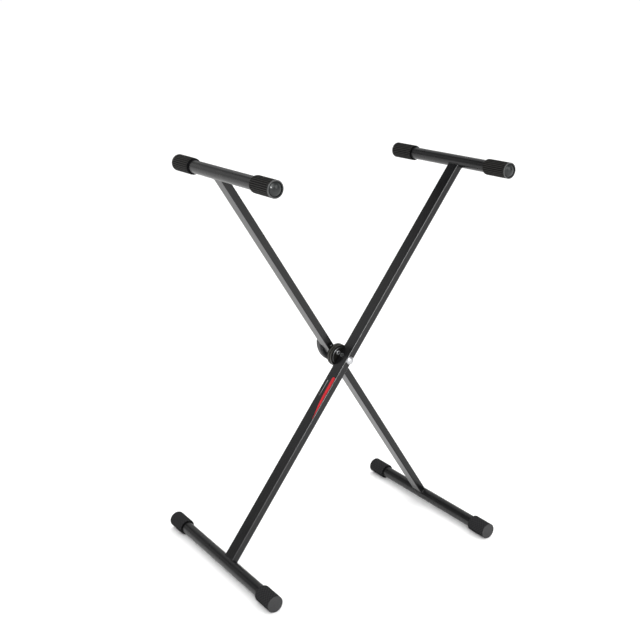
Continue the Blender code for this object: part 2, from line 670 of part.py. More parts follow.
def lock_knob_mesh():
    """Oval grip knob with rounded edges, a crowned back and a blind bore for its insert."""
    bore = INSERT_RADIUS + GAP
    count = 4 * (KNOB_POINTS - 1)
    flat = KNOB_THICKNESS - KNOB_CROWN
    bottom = KNOB_THICKNESS - KNOB_BACK_WALL
    crown = flat + KNOB_CROWN * (1 - KNOB_CROWN_SCALE ** 2)
    rings = [[(0, bottom, 0)], circle_ring(bore, bottom, count), circle_ring(bore, 0, count)]
    rings += knob_edge(0, 1)
    rings += reversed(knob_edge(flat, -1))
    rings += [knob_ring(0, crown, KNOB_CROWN_SCALE), [(0, KNOB_THICKNESS, 0)]]
    return loft_mesh("lock_knob", rings)


def turned_piece(name, mat, guide, inner, outer, y0, y1, sides=RING_SIDES):
    """Plain ring, bush or washer round the pivot axis."""
    mesh = turned_mesh(name, tube_profile(inner, outer, y0, y1), sides, closed=True)
    return add_object(name, mesh, mat, guide)


def clamp_pieces(mats, front_guide, rear_guide):
    """Bolt, friction ring, spring, bush, washer, knob and insert, in order along the pivot."""
    pivot_bolt(mats["chrome"], front_guide)
    half_ring = RING_THICKNESS / 2
    turned_piece("friction_ring", mats["friction"], front_guide, RING_INNER, RING_OUTER,
                 -half_ring, half_ring, 2 * DISC_TEETH)
    release_spring(mats["spring"], front_guide)
    turned_piece("pivot_bush", mats["bush"], rear_guide, BORE_RADIUS, BUSH_RADIUS,
                 PLATE_OUTER_Y + GAP, LEG_OUTER_Y)
    turned_piece("thrust_washer", mats["washer"], rear_guide, BORE_RADIUS, WASHER_RADIUS,
                 WASHER_Y, WASHER_Y + WASHER_THICKNESS)
    add_object("lock_knob", lock_knob_mesh(), mats["knob"], rear_guide, (0, KNOB_Y, 0))
    turned_piece("knob_insert", mats["brass"], rear_guide, BORE_RADIUS, INSERT_RADIUS,
                 KNOB_Y, KNOB_Y + INSERT_LENGTH)


def materials():
    """The finishes of the stand, by use."""
    return {
        "leg": material("leg_powder_coat", "#2E2F30", 0.48, 0.1),
        "bar": material("tube_powder_coat", "#333435", 0.42, 0.1),
        "cap": material("foot_rubber", "#2B2B2B", 0.75),
        "sleeve": material("sleeve_rubber", "#1F1F20", 0.6),
        "plug": material("plug_gloss_plastic", "#3A3D3C", 0.18),
        "chrome": material("bright_chrome", "#E4E6E8", 0.12, 1.0),
        "plate": material("plate_black_paint", "#1C1C1C", 0.45, 0.1),
        "disc": material("disc_moulded_nylon", "#2A2A24", 0.55),
        "friction": material("friction_fibre", "#4A4238", 0.85),
        "spring": material("spring_steel", "#8C8F92", 0.35, 1.0),
        "bush": material("bush_nylon", "#D6D3C8", 0.5),
        "washer": material("zinc_plated_steel", "#B4B7BA", 0.3, 1.0),
        "knob": material("knob_moulded_plastic", "#222222", 0.5),
        "brass": material("insert_brass", "#B8995A", 0.3, 1.0),
        "rivet": material("rivet_steel", "#7D7F80", 0.35, 1.0),
        "screw": material("screw_steel", "#6F7172", 0.3, 1.0),
    }


def build():
    """Build the whole stand at its working height."""
    clear_scene()
    mats = materials()
    pivot = (0, 0, PIVOT_HEIGHT)
    front = empty("front_leg_pivot", pivot, LEG_TILT)
    rear = empty("rear_leg_pivot", pivot, -LEG_TILT)
    front_leg = welded_frame("front_leg", "left", "right", mats, front, -1, LEG_TILT)
    rear_leg = welded_frame("rear_leg", "right", "left", mats, rear, 1, -LEG_TILT)
    front_leg_holes(front_leg, front)
    rear_leg_hole(rear_leg, rear)
    for word, guide, side in (("front", front, -1), ("rear", rear, 1)):
        clutch_plate(word + "_clutch_plate", mats["plate"], guide, side)
        clutch_disc(word + "_clutch_disc", mats["disc"], guide, side)
        clutch_fasteners(word, mats, guide, side)
    clamp_pieces(mats, front, rear)


build()
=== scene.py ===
from math import atan2, cos, hypot, pi, radians, sin, sqrt

import bmesh
import bpy
from mathutils import Matrix, Vector


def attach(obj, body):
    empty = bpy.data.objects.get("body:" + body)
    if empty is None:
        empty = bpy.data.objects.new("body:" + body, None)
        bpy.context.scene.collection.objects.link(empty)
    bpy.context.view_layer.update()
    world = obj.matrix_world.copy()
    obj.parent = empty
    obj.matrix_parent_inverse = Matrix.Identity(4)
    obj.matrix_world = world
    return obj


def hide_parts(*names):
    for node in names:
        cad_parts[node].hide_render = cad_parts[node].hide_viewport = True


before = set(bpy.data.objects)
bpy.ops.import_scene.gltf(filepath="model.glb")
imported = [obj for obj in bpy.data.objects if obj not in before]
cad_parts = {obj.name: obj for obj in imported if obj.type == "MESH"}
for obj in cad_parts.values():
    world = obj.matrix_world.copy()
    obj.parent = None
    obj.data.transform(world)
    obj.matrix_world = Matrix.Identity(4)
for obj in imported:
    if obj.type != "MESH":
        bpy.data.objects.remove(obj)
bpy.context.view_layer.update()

MM = 0.001

# Stance: tilt of the legs, and the places of the tubes along each leg
LEG_TILT = radians(35.0)
HALF_LEG = 480.0 * MM
PIVOT_HEIGHT = 410.111 * MM

# Legs and their welds to the round tubes
LEG_WIDTH = 15.0 * MM
LEG_DEPTH = 30.0 * MM
LEG_CORNER = 2.0 * MM
LEG_INNER_Y = 9.0 * MM
LEG_OUTER_Y = LEG_INNER_Y + LEG_DEPTH
LEG_Y = LEG_INNER_Y + LEG_DEPTH / 2
SADDLE_GAP = 0.1 * MM
WELD_RADIUS = 1.1 * MM
WELD_RIPPLE = 2.4 * MM
WELD_STEP = 0.6 * MM

# Round tubes and foot caps
TUBE_RADIUS = 12.7 * MM
TUBE_WALL = 1.5 * MM
BAR_REACH = 197.2 * MM
ARM_TUBE_REACH = 175.2 * MM
TUBE_BORE_DEPTH = 24.0 * MM
FOOT_REACH = 202.5 * MM
CAP_RADIUS = 16.9 * MM
CAP_LENGTH = 48.0 * MM
CAP_END_WALL = 5.0 * MM
CAP_END_ROUND = 0.8 * MM
CAP_SHOULDER = 2.0 * MM
CAP_MOUTH_WIDTH = 2.1 * MM
CAP_MOUTH_DEPTH = 6.0 * MM
CAP_GAP = 0.1 * MM
STUDS_AROUND = 15
STUD_SPACING = 7.0 * MM

# Ribbed sleeves and their domed plugs
ARM_REACH = 178.0 * MM
SLEEVE_RADIUS = 16.35 * MM
SLEEVE_LENGTH = 62.0 * MM
SLEEVE_LIP = 3.0 * MM
LIP_FACE = 0.8 * MM
SLEEVE_GAP = 0.05 * MM
SLEEVE_RIBS = 26
RIB_DEPTH = 1.3 * MM
RIB_SIDES = 6
SLEEVE_MOUTH_RADIUS = 14.3 * MM
SLEEVE_MOUTH_DEPTH = 2.5 * MM
PLUG_RADIUS = 12.4 * MM
PLUG_DOME = 4.0 * MM
PLUG_PROUD = 3.0 * MM
PLUG_FLANGE = 1.5 * MM
PLUG_STEM_RADIUS = 10.2 * MM
PLUG_STEM = 16.0 * MM
PLUG_WALL = 1.6 * MM
PLUG_BARB = 0.6 * MM
PLUG_BARB_PLACES = (4.0 * MM, 9.5 * MM)

# Clutch between the legs, with its rivets, screws and spring
DISC_RADIUS = 24.0 * MM
DISC_INNER_Y = 0.9 * MM
DISC_OUTER_Y = 5.9 * MM
DISC_TEETH = 20
TOOTH_DEPTH = 0.8 * MM
TOOTH_OUTER = 22.4 * MM
TOOTH_INNER = 12.9 * MM
POCKET_RADIUS = 9.0 * MM
POCKET_DEPTH = 3.5 * MM
PLATE_INNER_Y = 6.2 * MM
PLATE_OUTER_Y = 8.7 * MM
PLATE_FACE_RADIUS = 19.6 * MM
PLATE_STEP = 0.9 * MM
EAR_HALF = 4.5 * MM
RIVET_DISTANCE = 26.6 * MM
RIVET_RADIUS = 2.3 * MM
RIVET_HEAD = 1.6 * MM
RIVET_SHANK = 1.6 * MM
RIVET_LENGTH = 5.2 * MM
RIVET_TAIL = 2.2 * MM
SCREW_OFFSET = 12.55 * MM
SCREW_RISE = 3.4 * MM
SCREW_RADIUS = 4.6 * MM
SCREW_HEIGHT = 3.0 * MM
SCREW_EDGE = 0.7 * MM
SCREW_SHANK = 1.8 * MM
SCREW_LENGTH = 5.2 * MM
SCREW_SOCKET = 2.4 * MM
SOCKET_DEPTH = 2.5 * MM
HEAD_GAP = 0.05 * MM
SPRING_RADIUS = 7.0 * MM
SPRING_WIRE = 0.8 * MM
SPRING_TURNS = 3
SPRING_HALF = 3.3 * MM
RING_INNER = 12.3 * MM
RING_OUTER = 23.0 * MM
RING_HALF = 0.6 * MM

# Bolt, bush, washer, and the oval knob with its insert
BORE_RADIUS = 4.3 * MM
BOLT_RADIUS = 4.0 * MM
BOLT_HEAD_RADIUS = 8.9 * MM
BOLT_HEAD_HEIGHT = 7.0 * MM
BOLT_SEAT_Y = -39.3 * MM
BOLT_END_Y = 51.2 * MM
BOLT_CHAMFER = 0.8 * MM
BOLT_NECK = 8.4 * MM
THREAD_START_Y = 36.0 * MM
THREAD_PITCH = 1.25 * MM
THREAD_DEPTH = 0.6 * MM
BUSH_RADIUS = 6.2 * MM
WASHER_RADIUS = 11.0 * MM
WASHER_Y = 39.3 * MM
WASHER_THICKNESS = 2.0 * MM
KNOB_Y = 41.6 * MM
KNOB_LENGTH = 62.0 * MM
KNOB_WIDTH = 29.0 * MM
KNOB_THICKNESS = 13.6 * MM
KNOB_CROWN = 2.2 * MM
KNOB_SIDE_RADIUS = 50.0 * MM
KNOB_EDGE = 2.0 * MM
KNOB_BACK_WALL = 3.0 * MM
INSERT_RADIUS = 6.6 * MM
INSERT_LENGTH = 10.0 * MM
INSERT_SIDES = 96
KNURL_DEPTH = 0.3 * MM

# Film of the stripes: how thick it is, and how far its middle lies above the leg's face
FILM_THICKNESS = 0.12 * MM
FILM_RISE = 0.02 * MM

SMOOTH_ANGLE = radians(35.0)

# How far a cutter reaches past what it cuts
OVERCUT = 1.0 * MM

# Camera, by its heading from the stand's back, its pitch down, its roll and its lens
CAMERA_PLACE = (-1196.77 * MM, -1629.035 * MM, 1083.733 * MM)
CAMERA_HEADING = radians(35.143)
CAMERA_PITCH = radians(16.4945)
CAMERA_ROLL = radians(1.7847)
CAMERA_LENS = 57.348
CAMERA_SENSOR = 36.0

# Leg frames: z runs up along the leg and y stays the stand's y
PIVOT = Matrix.Translation((0, 0, PIVOT_HEIGHT))
LEG_FRAMES = {"front": PIVOT @ Matrix.Rotation(LEG_TILT, 4, "Y"),
              "rear": PIVOT @ Matrix.Rotation(-LEG_TILT, 4, "Y")}
LEG_SIDES = {"front": -1, "rear": 1}
BODIES = {"front": "front_leg_frame", "rear": "rear_leg_frame"}
HALF_TURN = Matrix.Rotation(pi, 4, "Z")


# Modelling

def activate(piece):
    """Make one piece the only one that the next operator works on."""
    bpy.ops.object.select_all(action="DESELECT")
    piece.select_set(True)
    bpy.context.view_layer.objects.active = piece


def open_piece(piece, kind="FACE"):
    """Open a piece in edit mode with nothing selected."""
    activate(piece)
    bpy.ops.object.mode_set(mode="EDIT")
    bpy.ops.mesh.select_mode(type=kind)
    bpy.ops.mesh.select_all(action="DESELECT")


def close_piece():
    """Leave edit mode."""
    bpy.ops.object.mode_set(mode="OBJECT")


def choose(piece, kind, test):
    """Select the open piece's faces, edges or vertices that pass a test."""
    mesh = bmesh.from_edit_mesh(piece.data)
    for element in getattr(mesh, kind):
        element.select_set(bool(test(element)))
    bmesh.update_edit_mesh(piece.data)


def named(name):
    """The primitive just added, named and with its place in its mesh."""
    piece = bpy.context.object
    piece.name = name
    piece.data.name = name
    bpy.ops.object.transform_apply(location=True, rotation=True, scale=True)
    return piece


def cylinder(name, radius, y0, y1, sides=64, x=0.0, z=0.0):
    """Solid cylinder along y."""
    bpy.ops.object.select_all(action="DESELECT")
    bpy.ops.mesh.primitive_cylinder_add(vertices=sides, radius=radius, depth=y1 - y0,
                                        location=(x, (y0 + y1) / 2, z), rotation=(pi / 2, 0, 0))
    return named(name)


def block(name, size, centre):
    """Solid box of a size about a centre."""
    bpy.ops.object.select_all(action="DESELECT")
    bpy.ops.mesh.primitive_cube_add(size=1.0, location=centre, scale=size)
    return named(name)


def draw_end(piece, facing, rings, x=0.0, z=0.0):
    """Draw out the flat end that faces along y through rings of (radius, y), the first of them its own.

    A last ring of radius 0 closes the end in a point."""
    open_piece(piece)
    choose(piece, "faces", lambda face: face.normal.y * facing > 0.99)
    for (radius, y), (next_radius, next_y) in zip(rings, rings[1:]):
        bpy.ops.mesh.extrude_region_move(TRANSFORM_OT_translate={"value": (0, next_y - y, 0)})
        if next_radius == 0.0:
            bpy.ops.mesh.merge(type="CENTER")
        elif next_radius != radius:
            grow = next_radius / radius
            bpy.ops.transform.resize(value=(grow, 1, grow), center_override=(x, next_y, z))
    close_piece()


def arc(cx, cy, radius, start, end, steps):
    """Rings of (radius, y) along an arc, from start to end in degrees."""
    angles = [radians(start + (end - start) * i / steps) for i in range(steps + 1)]
    return [(cx + radius * cos(angle), cy + radius * sin(angle)) for angle in angles]


def wire(name, points, radius, closed):
    """Round wire or bead along points, each with its swell, either closed in a ring or capped at its ends."""
    curve = bpy.data.curves.new(name, "CURVE")
    curve.dimensions = "3D"
    curve.bevel_depth = radius
    curve.bevel_resolution = 3
    curve.use_fill_caps = not closed
    spline = curve.splines.new("POLY")
    spline.points.add(len(points) - 1)
    spline.use_cyclic_u = closed
    for point, (x, y, z, swell) in zip(spline.points, points):
        point.co = (x, y, z, 1.0)
        point.radius = swell
    piece = bpy.data.objects.new(name, curve)
    bpy.context.scene.collection.objects.link(piece)
    activate(piece)
    bpy.ops.object.convert(target="MESH")
    return bpy.context.object


def apply_modifiers(piece):
    """Apply every modifier of a piece."""
    activate(piece)
    for modifier in list(piece.modifiers):
        bpy.ops.object.modifier_apply(modifier=modifier.name)


def combine(piece, operation, *others):
    """Join other solids to a piece, or cut them from it, and remove them."""
    for other in others:
        modifier = piece.modifiers.new(other.name, "BOOLEAN")
        modifier.operation = operation
        modifier.solver = "EXACT"
        modifier.object = other
        apply_modifiers(piece)
        bpy.data.objects.remove(other, do_unlink=True)


def round_edges(piece, width, segments=3, angle=40.0):
    """Round the edges that are sharper than an angle."""
    modifier = piece.modifiers.new("rounding", "BEVEL")
    modifier.limit_method = "ANGLE"
    modifier.angle_limit = radians(angle)
    modifier.width = width
    modifier.segments = segments
    modifier.use_clamp_overlap = True
    apply_modifiers(piece)


def copy_of(piece, name):
    """Copy of a modelled piece with its own mesh."""
    copy = piece.copy()
    copy.data = piece.data.copy()
    copy.name = copy.data.name = name
    bpy.context.scene.collection.objects.link(copy)
    return copy


def discard(piece):
    """Remove a pattern piece whose copies are in place."""
    bpy.data.objects.remove(piece, do_unlink=True)


def two_finishes(piece, main, other, test):
    """Give a piece its main finish, and another one on the faces that pass a test."""
    for key in (main, other):
        piece.data.materials.append(FINISHES[key])
    open_piece(piece)
    choose(piece, "faces", test)
    piece.active_material_index = 1
    bpy.ops.object.material_slot_assign()
    close_piece()


def fit(piece, place, body, finish, slot, *nodes):
    """Set a modelled piece in its place, give it a finish, tie it to its body, and hide the CAD nodes that it
    replaces. The slot is not used. The finish is None for a piece that has two of its own."""
    activate(piece)
    piece.matrix_world = place
    bpy.ops.object.transform_apply(location=True, rotation=True, scale=True)
    bpy.ops.object.shade_smooth_by_angle(angle=SMOOTH_ANGLE)
    flats = piece.modifiers.new("flats", "WEIGHTED_NORMAL")
    flats.keep_sharp = True
    apply_modifiers(piece)
    if finish:
        piece.data.materials.append(FINISHES[finish])
    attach(piece, body)
    if nodes:
        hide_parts(*nodes)


# Finishes

def linear(hex_colour):
    """An sRGB hex colour as linear red, green, blue and alpha."""
    channels = [int(hex_colour[i:i + 2], 16) / 255 for i in (1, 3, 5)]
    return [c / 12.92 if c <= 0.04045 else ((c + 0.055) / 1.055) ** 2.4 for c in channels] + [1.0]


def add(finish, kind, inputs=None, **settings):
    """Add a node with its settings; an input is given a value, or the socket that feeds it."""
    node = finish.node_tree.nodes.new("ShaderNode" + kind)
    for key, value in settings.items():
        setattr(node, key, value)
    for key, value in (inputs or {}).items():
        if isinstance(value, bpy.types.NodeSocket):
            finish.node_tree.links.new(value, node.inputs[key])
        else:
            node.inputs[key].default_value = value
    return node


def new_finish(name, colour, roughness, metallic=0.0, **sockets):
    """A finish with its even colour, roughness and other constants on the shader itself."""
    finish = bpy.data.materials.new(name)
    finish.use_nodes = True
    shader = finish.node_tree.nodes["Principled BSDF"]
    shader.inputs["Base Color"].default_value = linear(colour)
    shader.inputs["Roughness"].default_value = roughness
    shader.inputs["Metallic"].default_value = metallic
    for key, value in sockets.items():
        shader.inputs[key.replace("_", " ")].default_value = value
    finish.diffuse_color = linear(colour)
    return finish


def feed(finish, socket, source):
    """Link a node's output to one socket of the shader."""
    finish.node_tree.links.new(source, finish.node_tree.nodes["Principled BSDF"].inputs[socket])


def mottle(finish, spacing, detail=2.0, stretch=(1.0, 1.0, 1.0)):
    """Cloudy pattern on the object's own coordinates, its lumps a spacing apart in metres."""
    place = add(finish, "TexCoord").outputs["Object"]
    stretched = add(finish, "Mapping", {"Vector": place, "Scale": stretch}).outputs["Vector"]
    return add(finish, "TexNoise", {"Vector": stretched, "Scale": 1.0 / spacing, "Detail": detail,
                                    "Roughness": 0.55}).outputs["Fac"]


def two_tones(finish, pattern, dark, light, low=0.35, high=0.65):
    """Colour that runs from a dark tone to a light one as a pattern rises from low to high."""
    ramp = add(finish, "ValToRGB", {"Fac": pattern})
    for stop, place, tone in zip(ramp.color_ramp.elements, (low, high), (dark, light)):
        stop.position = place
        stop.color = linear(tone)
    return ramp.outputs["Color"]


def vary_roughness(finish, pattern, low, high):
    """Let the roughness run from low to high with a pattern."""
    rough = add(finish, "MapRange", {"Value": pattern, "From Min": 0.3, "From Max": 0.7,
                                     "To Min": low, "To Max": high})
    feed(finish, "Roughness", rough.outputs["Result"])


def relief(finish, pattern, depth, strength):
    """Raise the surface by a depth in metres where a pattern is high, over any relief that it has."""
    inputs = {"Height": pattern, "Distance": depth, "Strength": strength}
    normal = finish.node_tree.nodes["Principled BSDF"].inputs["Normal"]
    if normal.is_linked:
        inputs["Normal"] = normal.links[0].from_socket
    feed(finish, "Normal", add(finish, "Bump", inputs).outputs["Normal"])


def powder_coat(name, dark, light, roughness, specular=0.37):
    """Polyester powder coat on steel, sprayed and baked: a satin skin whose orange peel, some 2 mm from
    crest to crest, softens the reflection of a white room, and whose sheen drifts a little."""
    finish = new_finish(name, dark, roughness, Specular_IOR_Level=specular)
    feed(finish, "Base Color", two_tones(finish, mottle(finish, 70 * MM), dark, light))
    vary_roughness(finish, mottle(finish, 35 * MM), roughness - 0.03, roughness + 0.04)
    relief(finish, mottle(finish, 2.2 * MM, 1.0), 0.03 * MM, 0.8)
    relief(finish, mottle(finish, 0.7 * MM, 1.0), 0.006 * MM, 0.6)
    return finish


def past_end(finish, reach):
    """One beyond a reach along y, towards either end of a cross tube, and zero short of it."""
    place = add(finish, "TexCoord").outputs["Object"]
    along = add(finish, "SeparateXYZ", {"Vector": place}).outputs["Y"]
    distance = add(finish, "Math", {0: along}, operation="ABSOLUTE").outputs["Value"]
    return add(finish, "MapRange", {"Value": distance, "From Min": reach,
                                    "From Max": reach + 0.3 * MM}).outputs["Result"]


def from_axis(finish, end):
    """Offset from the axis of the nearer cross tube: a base bar where end is -1, an arm where it is 1."""
    axis = (HALF_LEG * sin(LEG_TILT), 0.0, PIVOT_HEIGHT + end * HALF_LEG * cos(LEG_TILT))
    place = add(finish, "TexCoord").outputs["Object"]
    positive = add(finish, "VectorMath", {0: place}, operation="ABSOLUTE").outputs["Vector"]
    offset = add(finish, "VectorMath", {0: positive, 1: axis}, operation="SUBTRACT").outputs["Vector"]
    return add(finish, "VectorMath", {0: offset, 1: (1.0, 0.0, 1.0)}, operation="MULTIPLY").outputs["Vector"]


def studs(finish, end, around, spacing):
    """Pattern of small studs: a number of them around the nearer cross tube, a spacing apart along it."""
    offset = add(finish, "SeparateXYZ", {"Vector": from_axis(finish, end)})
    turn = add(finish, "Math", {0: offset.outputs["Z"], 1: offset.outputs["X"]}, operation="ARCTAN2")
    circle = add(finish, "Math", {0: turn.outputs["Value"], 1: float(around)}, operation="MULTIPLY")
    place = add(finish, "SeparateXYZ", {"Vector": add(finish, "TexCoord").outputs["Object"]})
    row = add(finish, "Math", {0: place.outputs["Y"], 1: 2 * pi / spacing}, operation="MULTIPLY")
    waves = [add(finish, "Math", {0: part.outputs["Value"]}, operation="SINE").outputs["Value"]
             for part in (circle, row)]
    crossed = add(finish, "Math", {0: waves[0], 1: waves[1]}, operation="MULTIPLY").outputs["Value"]
    return add(finish, "MapRange", {"Value": crossed, "From Min": -1.0}).outputs["Result"]


def foot_rubber():
    """Black PVC rubber, moulded in a chequered tool: a dry side covered in low studs 3.5 mm apart, which
    show as a fine grid of paler dots."""
    finish = new_finish("moulded_black_rubber_chequered", "#262627", 0.85, Specular_IOR_Level=0.02)
    chequer = studs(finish, -1, STUDS_AROUND, STUD_SPACING)
    feed(finish, "Base Color", two_tones(finish, chequer, "#1f1f20", "#2d2d2e", 0.2, 0.8))
    relief(finish, mottle(finish, 1.4 * MM, 3.0), 0.1 * MM, 0.5)
    return finish


def foot_end_rubber():
    """The same rubber from the polished end of the tool: a smooth face with a low gloss."""
    finish = new_finish("moulded_black_rubber_smooth", "#262627", 0.46, Specular_IOR_Level=0.32)
    feed(finish, "Base Color", two_tones(finish, mottle(finish, 3 * MM), "#252526", "#2a2a2b"))
    relief(finish, mottle(finish, 1.4 * MM, 3.0), 0.1 * MM, 0.5)
    return finish


def sleeve_rubber(name, roughness, specular):
    """Soft black thermoplastic rubber, moulded with lengthwise ribs. Painted shade makes it near black in the
    grooves; painted highlight greys the crests, and most of all the smooth lip round its mouth."""
    finish = new_finish(name, "#151516", roughness, Specular_IOR_Level=specular)
    radius = add(finish, "VectorMath", {0: from_axis(finish, 1)}, operation="LENGTH").outputs["Value"]
    crest = add(finish, "MapRange", {"Value": radius, "From Min": SLEEVE_RADIUS - RIB_DEPTH,
                                     "From Max": SLEEVE_RADIUS}).outputs["Result"]
    # Painted shade in the grooves and painted highlight on the crests
    body = two_tones(finish, crest, "#030304", "#31302e", 0.35, 0.95)
    # Painted highlight: the lip's front face is greyest
    lip = past_end(finish, ARM_REACH - LIP_FACE)
    colour = add(finish, "Mix", {0: lip, 6: body, 7: linear("#454646")}, data_type="RGBA").outputs[2]
    feed(finish, "Base Color", colour)
    relief(finish, mottle(finish, 1.2 * MM, 2.0, (1.0, 0.3, 1.0)), 0.08 * MM, 0.5)
    return finish


def plug_plastic():
    """Polypropylene, injection moulded against a polished tool: a glossy dome with a cool grey cast,
    and faint flow marks that pull the reflections about."""
    finish = new_finish("moulded_polypropylene_gloss", "#1e2121", 0.2, Specular_IOR_Level=0.34)
    feed(finish, "Base Color", two_tones(finish, mottle(finish, 7 * MM), "#181b1b", "#232626"))
    relief(finish, mottle(finish, 5 * MM, 1.0), 0.05 * MM, 0.35)
    return finish


def chrome():
    """Chromium plate on a cold-headed steel bolt, buffed: near-mirror bright with hairline swirls that
    draw out the highlights."""
    finish = new_finish("chrome_plate_buffed", "#b4b5b7", 0.3, 1.0)
    vary_roughness(finish, mottle(finish, 1.5 * MM, 3.0, (1.0, 1.0, 0.2)), 0.26, 0.38)
    relief(finish, mottle(finish, 3 * MM, 1.0), 0.02 * MM, 0.3)
    return finish


def disc_nylon():
    """Glass-filled nylon, moulded: a brown-black with an olive cast, mottled where the fibres surface."""
    finish = new_finish("moulded_glass_filled_nylon", "#181712", 0.4)
    feed(finish, "Base Color", two_tones(finish, mottle(finish, 1.6 * MM, 4.0), "#12110d", "#232219"))
    vary_roughness(finish, mottle(finish, 3 * MM, 3.0), 0.36, 0.5)
    relief(finish, mottle(finish, 1.3 * MM, 3.0, (1.0, 2.5, 1.0)), 0.06 * MM, 0.6)
    return finish


def friction_fibre():
    """Pressed aramid and resin friction lining: a dry brown-black felt of short fibres."""
    finish = new_finish("pressed_friction_fibre", "#131210", 0.88, Specular_IOR_Level=0.2)
    feed(finish, "Base Color", two_tones(finish, mottle(finish, 0.9 * MM, 5.0), "#0c0b09", "#1b1814"))
    relief(finish, mottle(finish, 0.7 * MM, 4.0), 0.15 * MM, 0.8)
    return finish


def bare_metal(name, dark, light, roughness, spacing, stretch=(1.0, 1.0, 1.0)):
    """Bare or plated steel or brass, whose tone and polish vary along the marks of its making."""
    finish = new_finish(name, light, roughness, 1.0)
    marks = mottle(finish, spacing, 3.0, stretch)
    feed(finish, "Base Color", two_tones(finish, marks, dark, light))
    vary_roughness(finish, marks, roughness - 0.06, roughness + 0.08)
    relief(finish, marks, 0.02 * MM, 0.5)
    return finish


def bush_nylon():
    """Natural nylon 6, turned from rod: milky off-white that lets a little light in."""
    finish = new_finish("natural_nylon_turned", "#d8d3c2", 0.4, Subsurface_Weight=0.15,
                        Subsurface_Scale=2.0 * MM)
    relief(finish, mottle(finish, 1.0 * MM, 2.0, (1.0, 4.0, 1.0)), 0.03 * MM, 0.5)
    return finish


def knob_plastic():
    """ABS, injection moulded in a textured tool: charcoal with a fine spark-eroded grain that greys its
    lit side. The real grain of 0.3 mm is drawn at 1.0 mm to show."""
    finish = new_finish("moulded_abs_spark_grain", "#2d2d2e", 0.5)
    feed(finish, "Base Color", two_tones(finish, mottle(finish, 9 * MM), "#28282a", "#343435"))
    vary_roughness(finish, mottle(finish, 2 * MM), 0.44, 0.56)
    relief(finish, mottle(finish, 1.0 * MM, 3.0), 0.1 * MM, 0.7)
    return finish


def vinyl(name, dark, light):
    """Cast vinyl film, cut and pressed on: an even colour under a smooth satin skin, with a slight orange
    peel where it takes the shape of the coat below."""
    finish = new_finish(name, light, 0.3, Specular_IOR_Level=0.22)
    feed(finish, "Base Color", two_tones(finish, mottle(finish, 6 * MM), dark, light))
    relief(finish, mottle(finish, 2.2 * MM, 1.0), 0.02 * MM, 0.5)
    return finish


def floor_paint():
    """Matt white studio floor, rolled: no texture of its own beyond the faintest roller stipple."""
    finish = new_finish("studio_floor_matt_white", "#fbfbfb", 0.9, Specular_IOR_Level=0.2)
    relief(finish, mottle(finish, 4 * MM, 2.0), 0.05 * MM, 0.2)
    return finish


FINISHES = {
    # Partly painted shade: the legs' coat is darker than the tubes' so the front leg's top reads as shaded
    "leg": powder_coat("powder_coat_black_legs_painted_shade", "#070708", "#0a0a0b", 0.21),
    # Painted highlight: a lighter, glossier coat on the legs' upper corners draws the light line along them
    "corner": powder_coat("powder_coat_painted_highlight_on_corners", "#0c0c0d", "#111112", 0.25, 0.6),
    "tube": powder_coat("powder_coat_satin_black_tubes", "#0b0b0c", "#0e0e0f", 0.28),
    "plate": powder_coat("powder_coat_satin_black_plates", "#0b0b0a", "#100f0d", 0.3, 0.12),
    "foot": foot_rubber(),
    "foot_end": foot_end_rubber(),
    "sleeve": sleeve_rubber("moulded_soft_rubber_matt", 0.6, 0.1),
    "lip": sleeve_rubber("moulded_soft_rubber_smooth", 0.36, 0.32),
    "plug": plug_plastic(),
    "chrome": chrome(),
    "disc": disc_nylon(),
    "friction": friction_fibre(),
    "spring": bare_metal("music_wire_drawn", "#6f7275", "#989ba0", 0.3, 0.8 * MM, (1.0, 0.3, 1.0)),
    "bush": bush_nylon(),
    "washer": bare_metal("black_oxide_on_washer", "#303133", "#45474a", 0.36, 3.5 * MM),
    "knob": knob_plastic(),
    "brass": bare_metal("brass_machined", "#a3803f", "#cba65a", 0.26, 0.8 * MM, (1.0, 5.0, 1.0)),
    "rivet": bare_metal("black_zinc_on_rivets", "#4a4b4d", "#66686a", 0.34, 1.2 * MM),
    "screw": bare_metal("nickel_plate_on_screws", "#8b8d8e", "#b2b4b5", 0.36, 1.4 * MM),
    "edge": bare_metal("turned_steel_edge", "#3c3d3e", "#58595a", 0.26, 1.0 * MM),
    # Painted shade: a near-black finish in the screws' sockets stands in for the shade in the recess
    "socket": bare_metal("painted_shade_in_sockets", "#0b0b0c", "#161617", 0.5, 1.0 * MM),
    "red": vinyl("vinyl_film_red", "#a81522", "#c21d25"),
    "light_grey": vinyl("vinyl_film_light_grey", "#8f9191", "#a6a8a8"),
    "floor": floor_paint(),
}


# Legs, tubes and welds

def leg(word):
    """Box-tube leg with rounded corners, and saddle ends that sit on the round tubes."""
    side = LEG_SIDES[word]
    piece = block(word + "_leg_tube", (LEG_WIDTH, LEG_DEPTH, 2 * HALF_LEG), (0, side * LEG_Y, 0))
    open_piece(piece, "EDGE")
    choose(piece, "edges", lambda edge: edge.calc_length() > HALF_LEG)
    bpy.ops.mesh.bevel(offset=LEG_CORNER, segments=6, affect="EDGES")
    close_piece()
    near, far = sorted((side * (LEG_INNER_Y - OVERCUT), side * (LEG_OUTER_Y + OVERCUT)))
    for z in (-HALF_LEG, HALF_LEG):
        combine(piece, "DIFFERENCE", cylinder("saddle", TUBE_RADIUS + SADDLE_GAP, near, far, 96, z=z))

    # Painted highlight: these corners take the lighter, glossier corner coat
    def on_upper_corner(face):
        rounded = face.normal.x * side > 0.15 and abs(face.normal.y) > 0.15
        return rounded and face.calc_area() > LEG_CORNER * MM
    two_finishes(piece, "leg", "corner", on_upper_corner)
    fit(piece, LEG_FRAMES[word], BODIES[word], None, "leg_paint", word + "_leg")


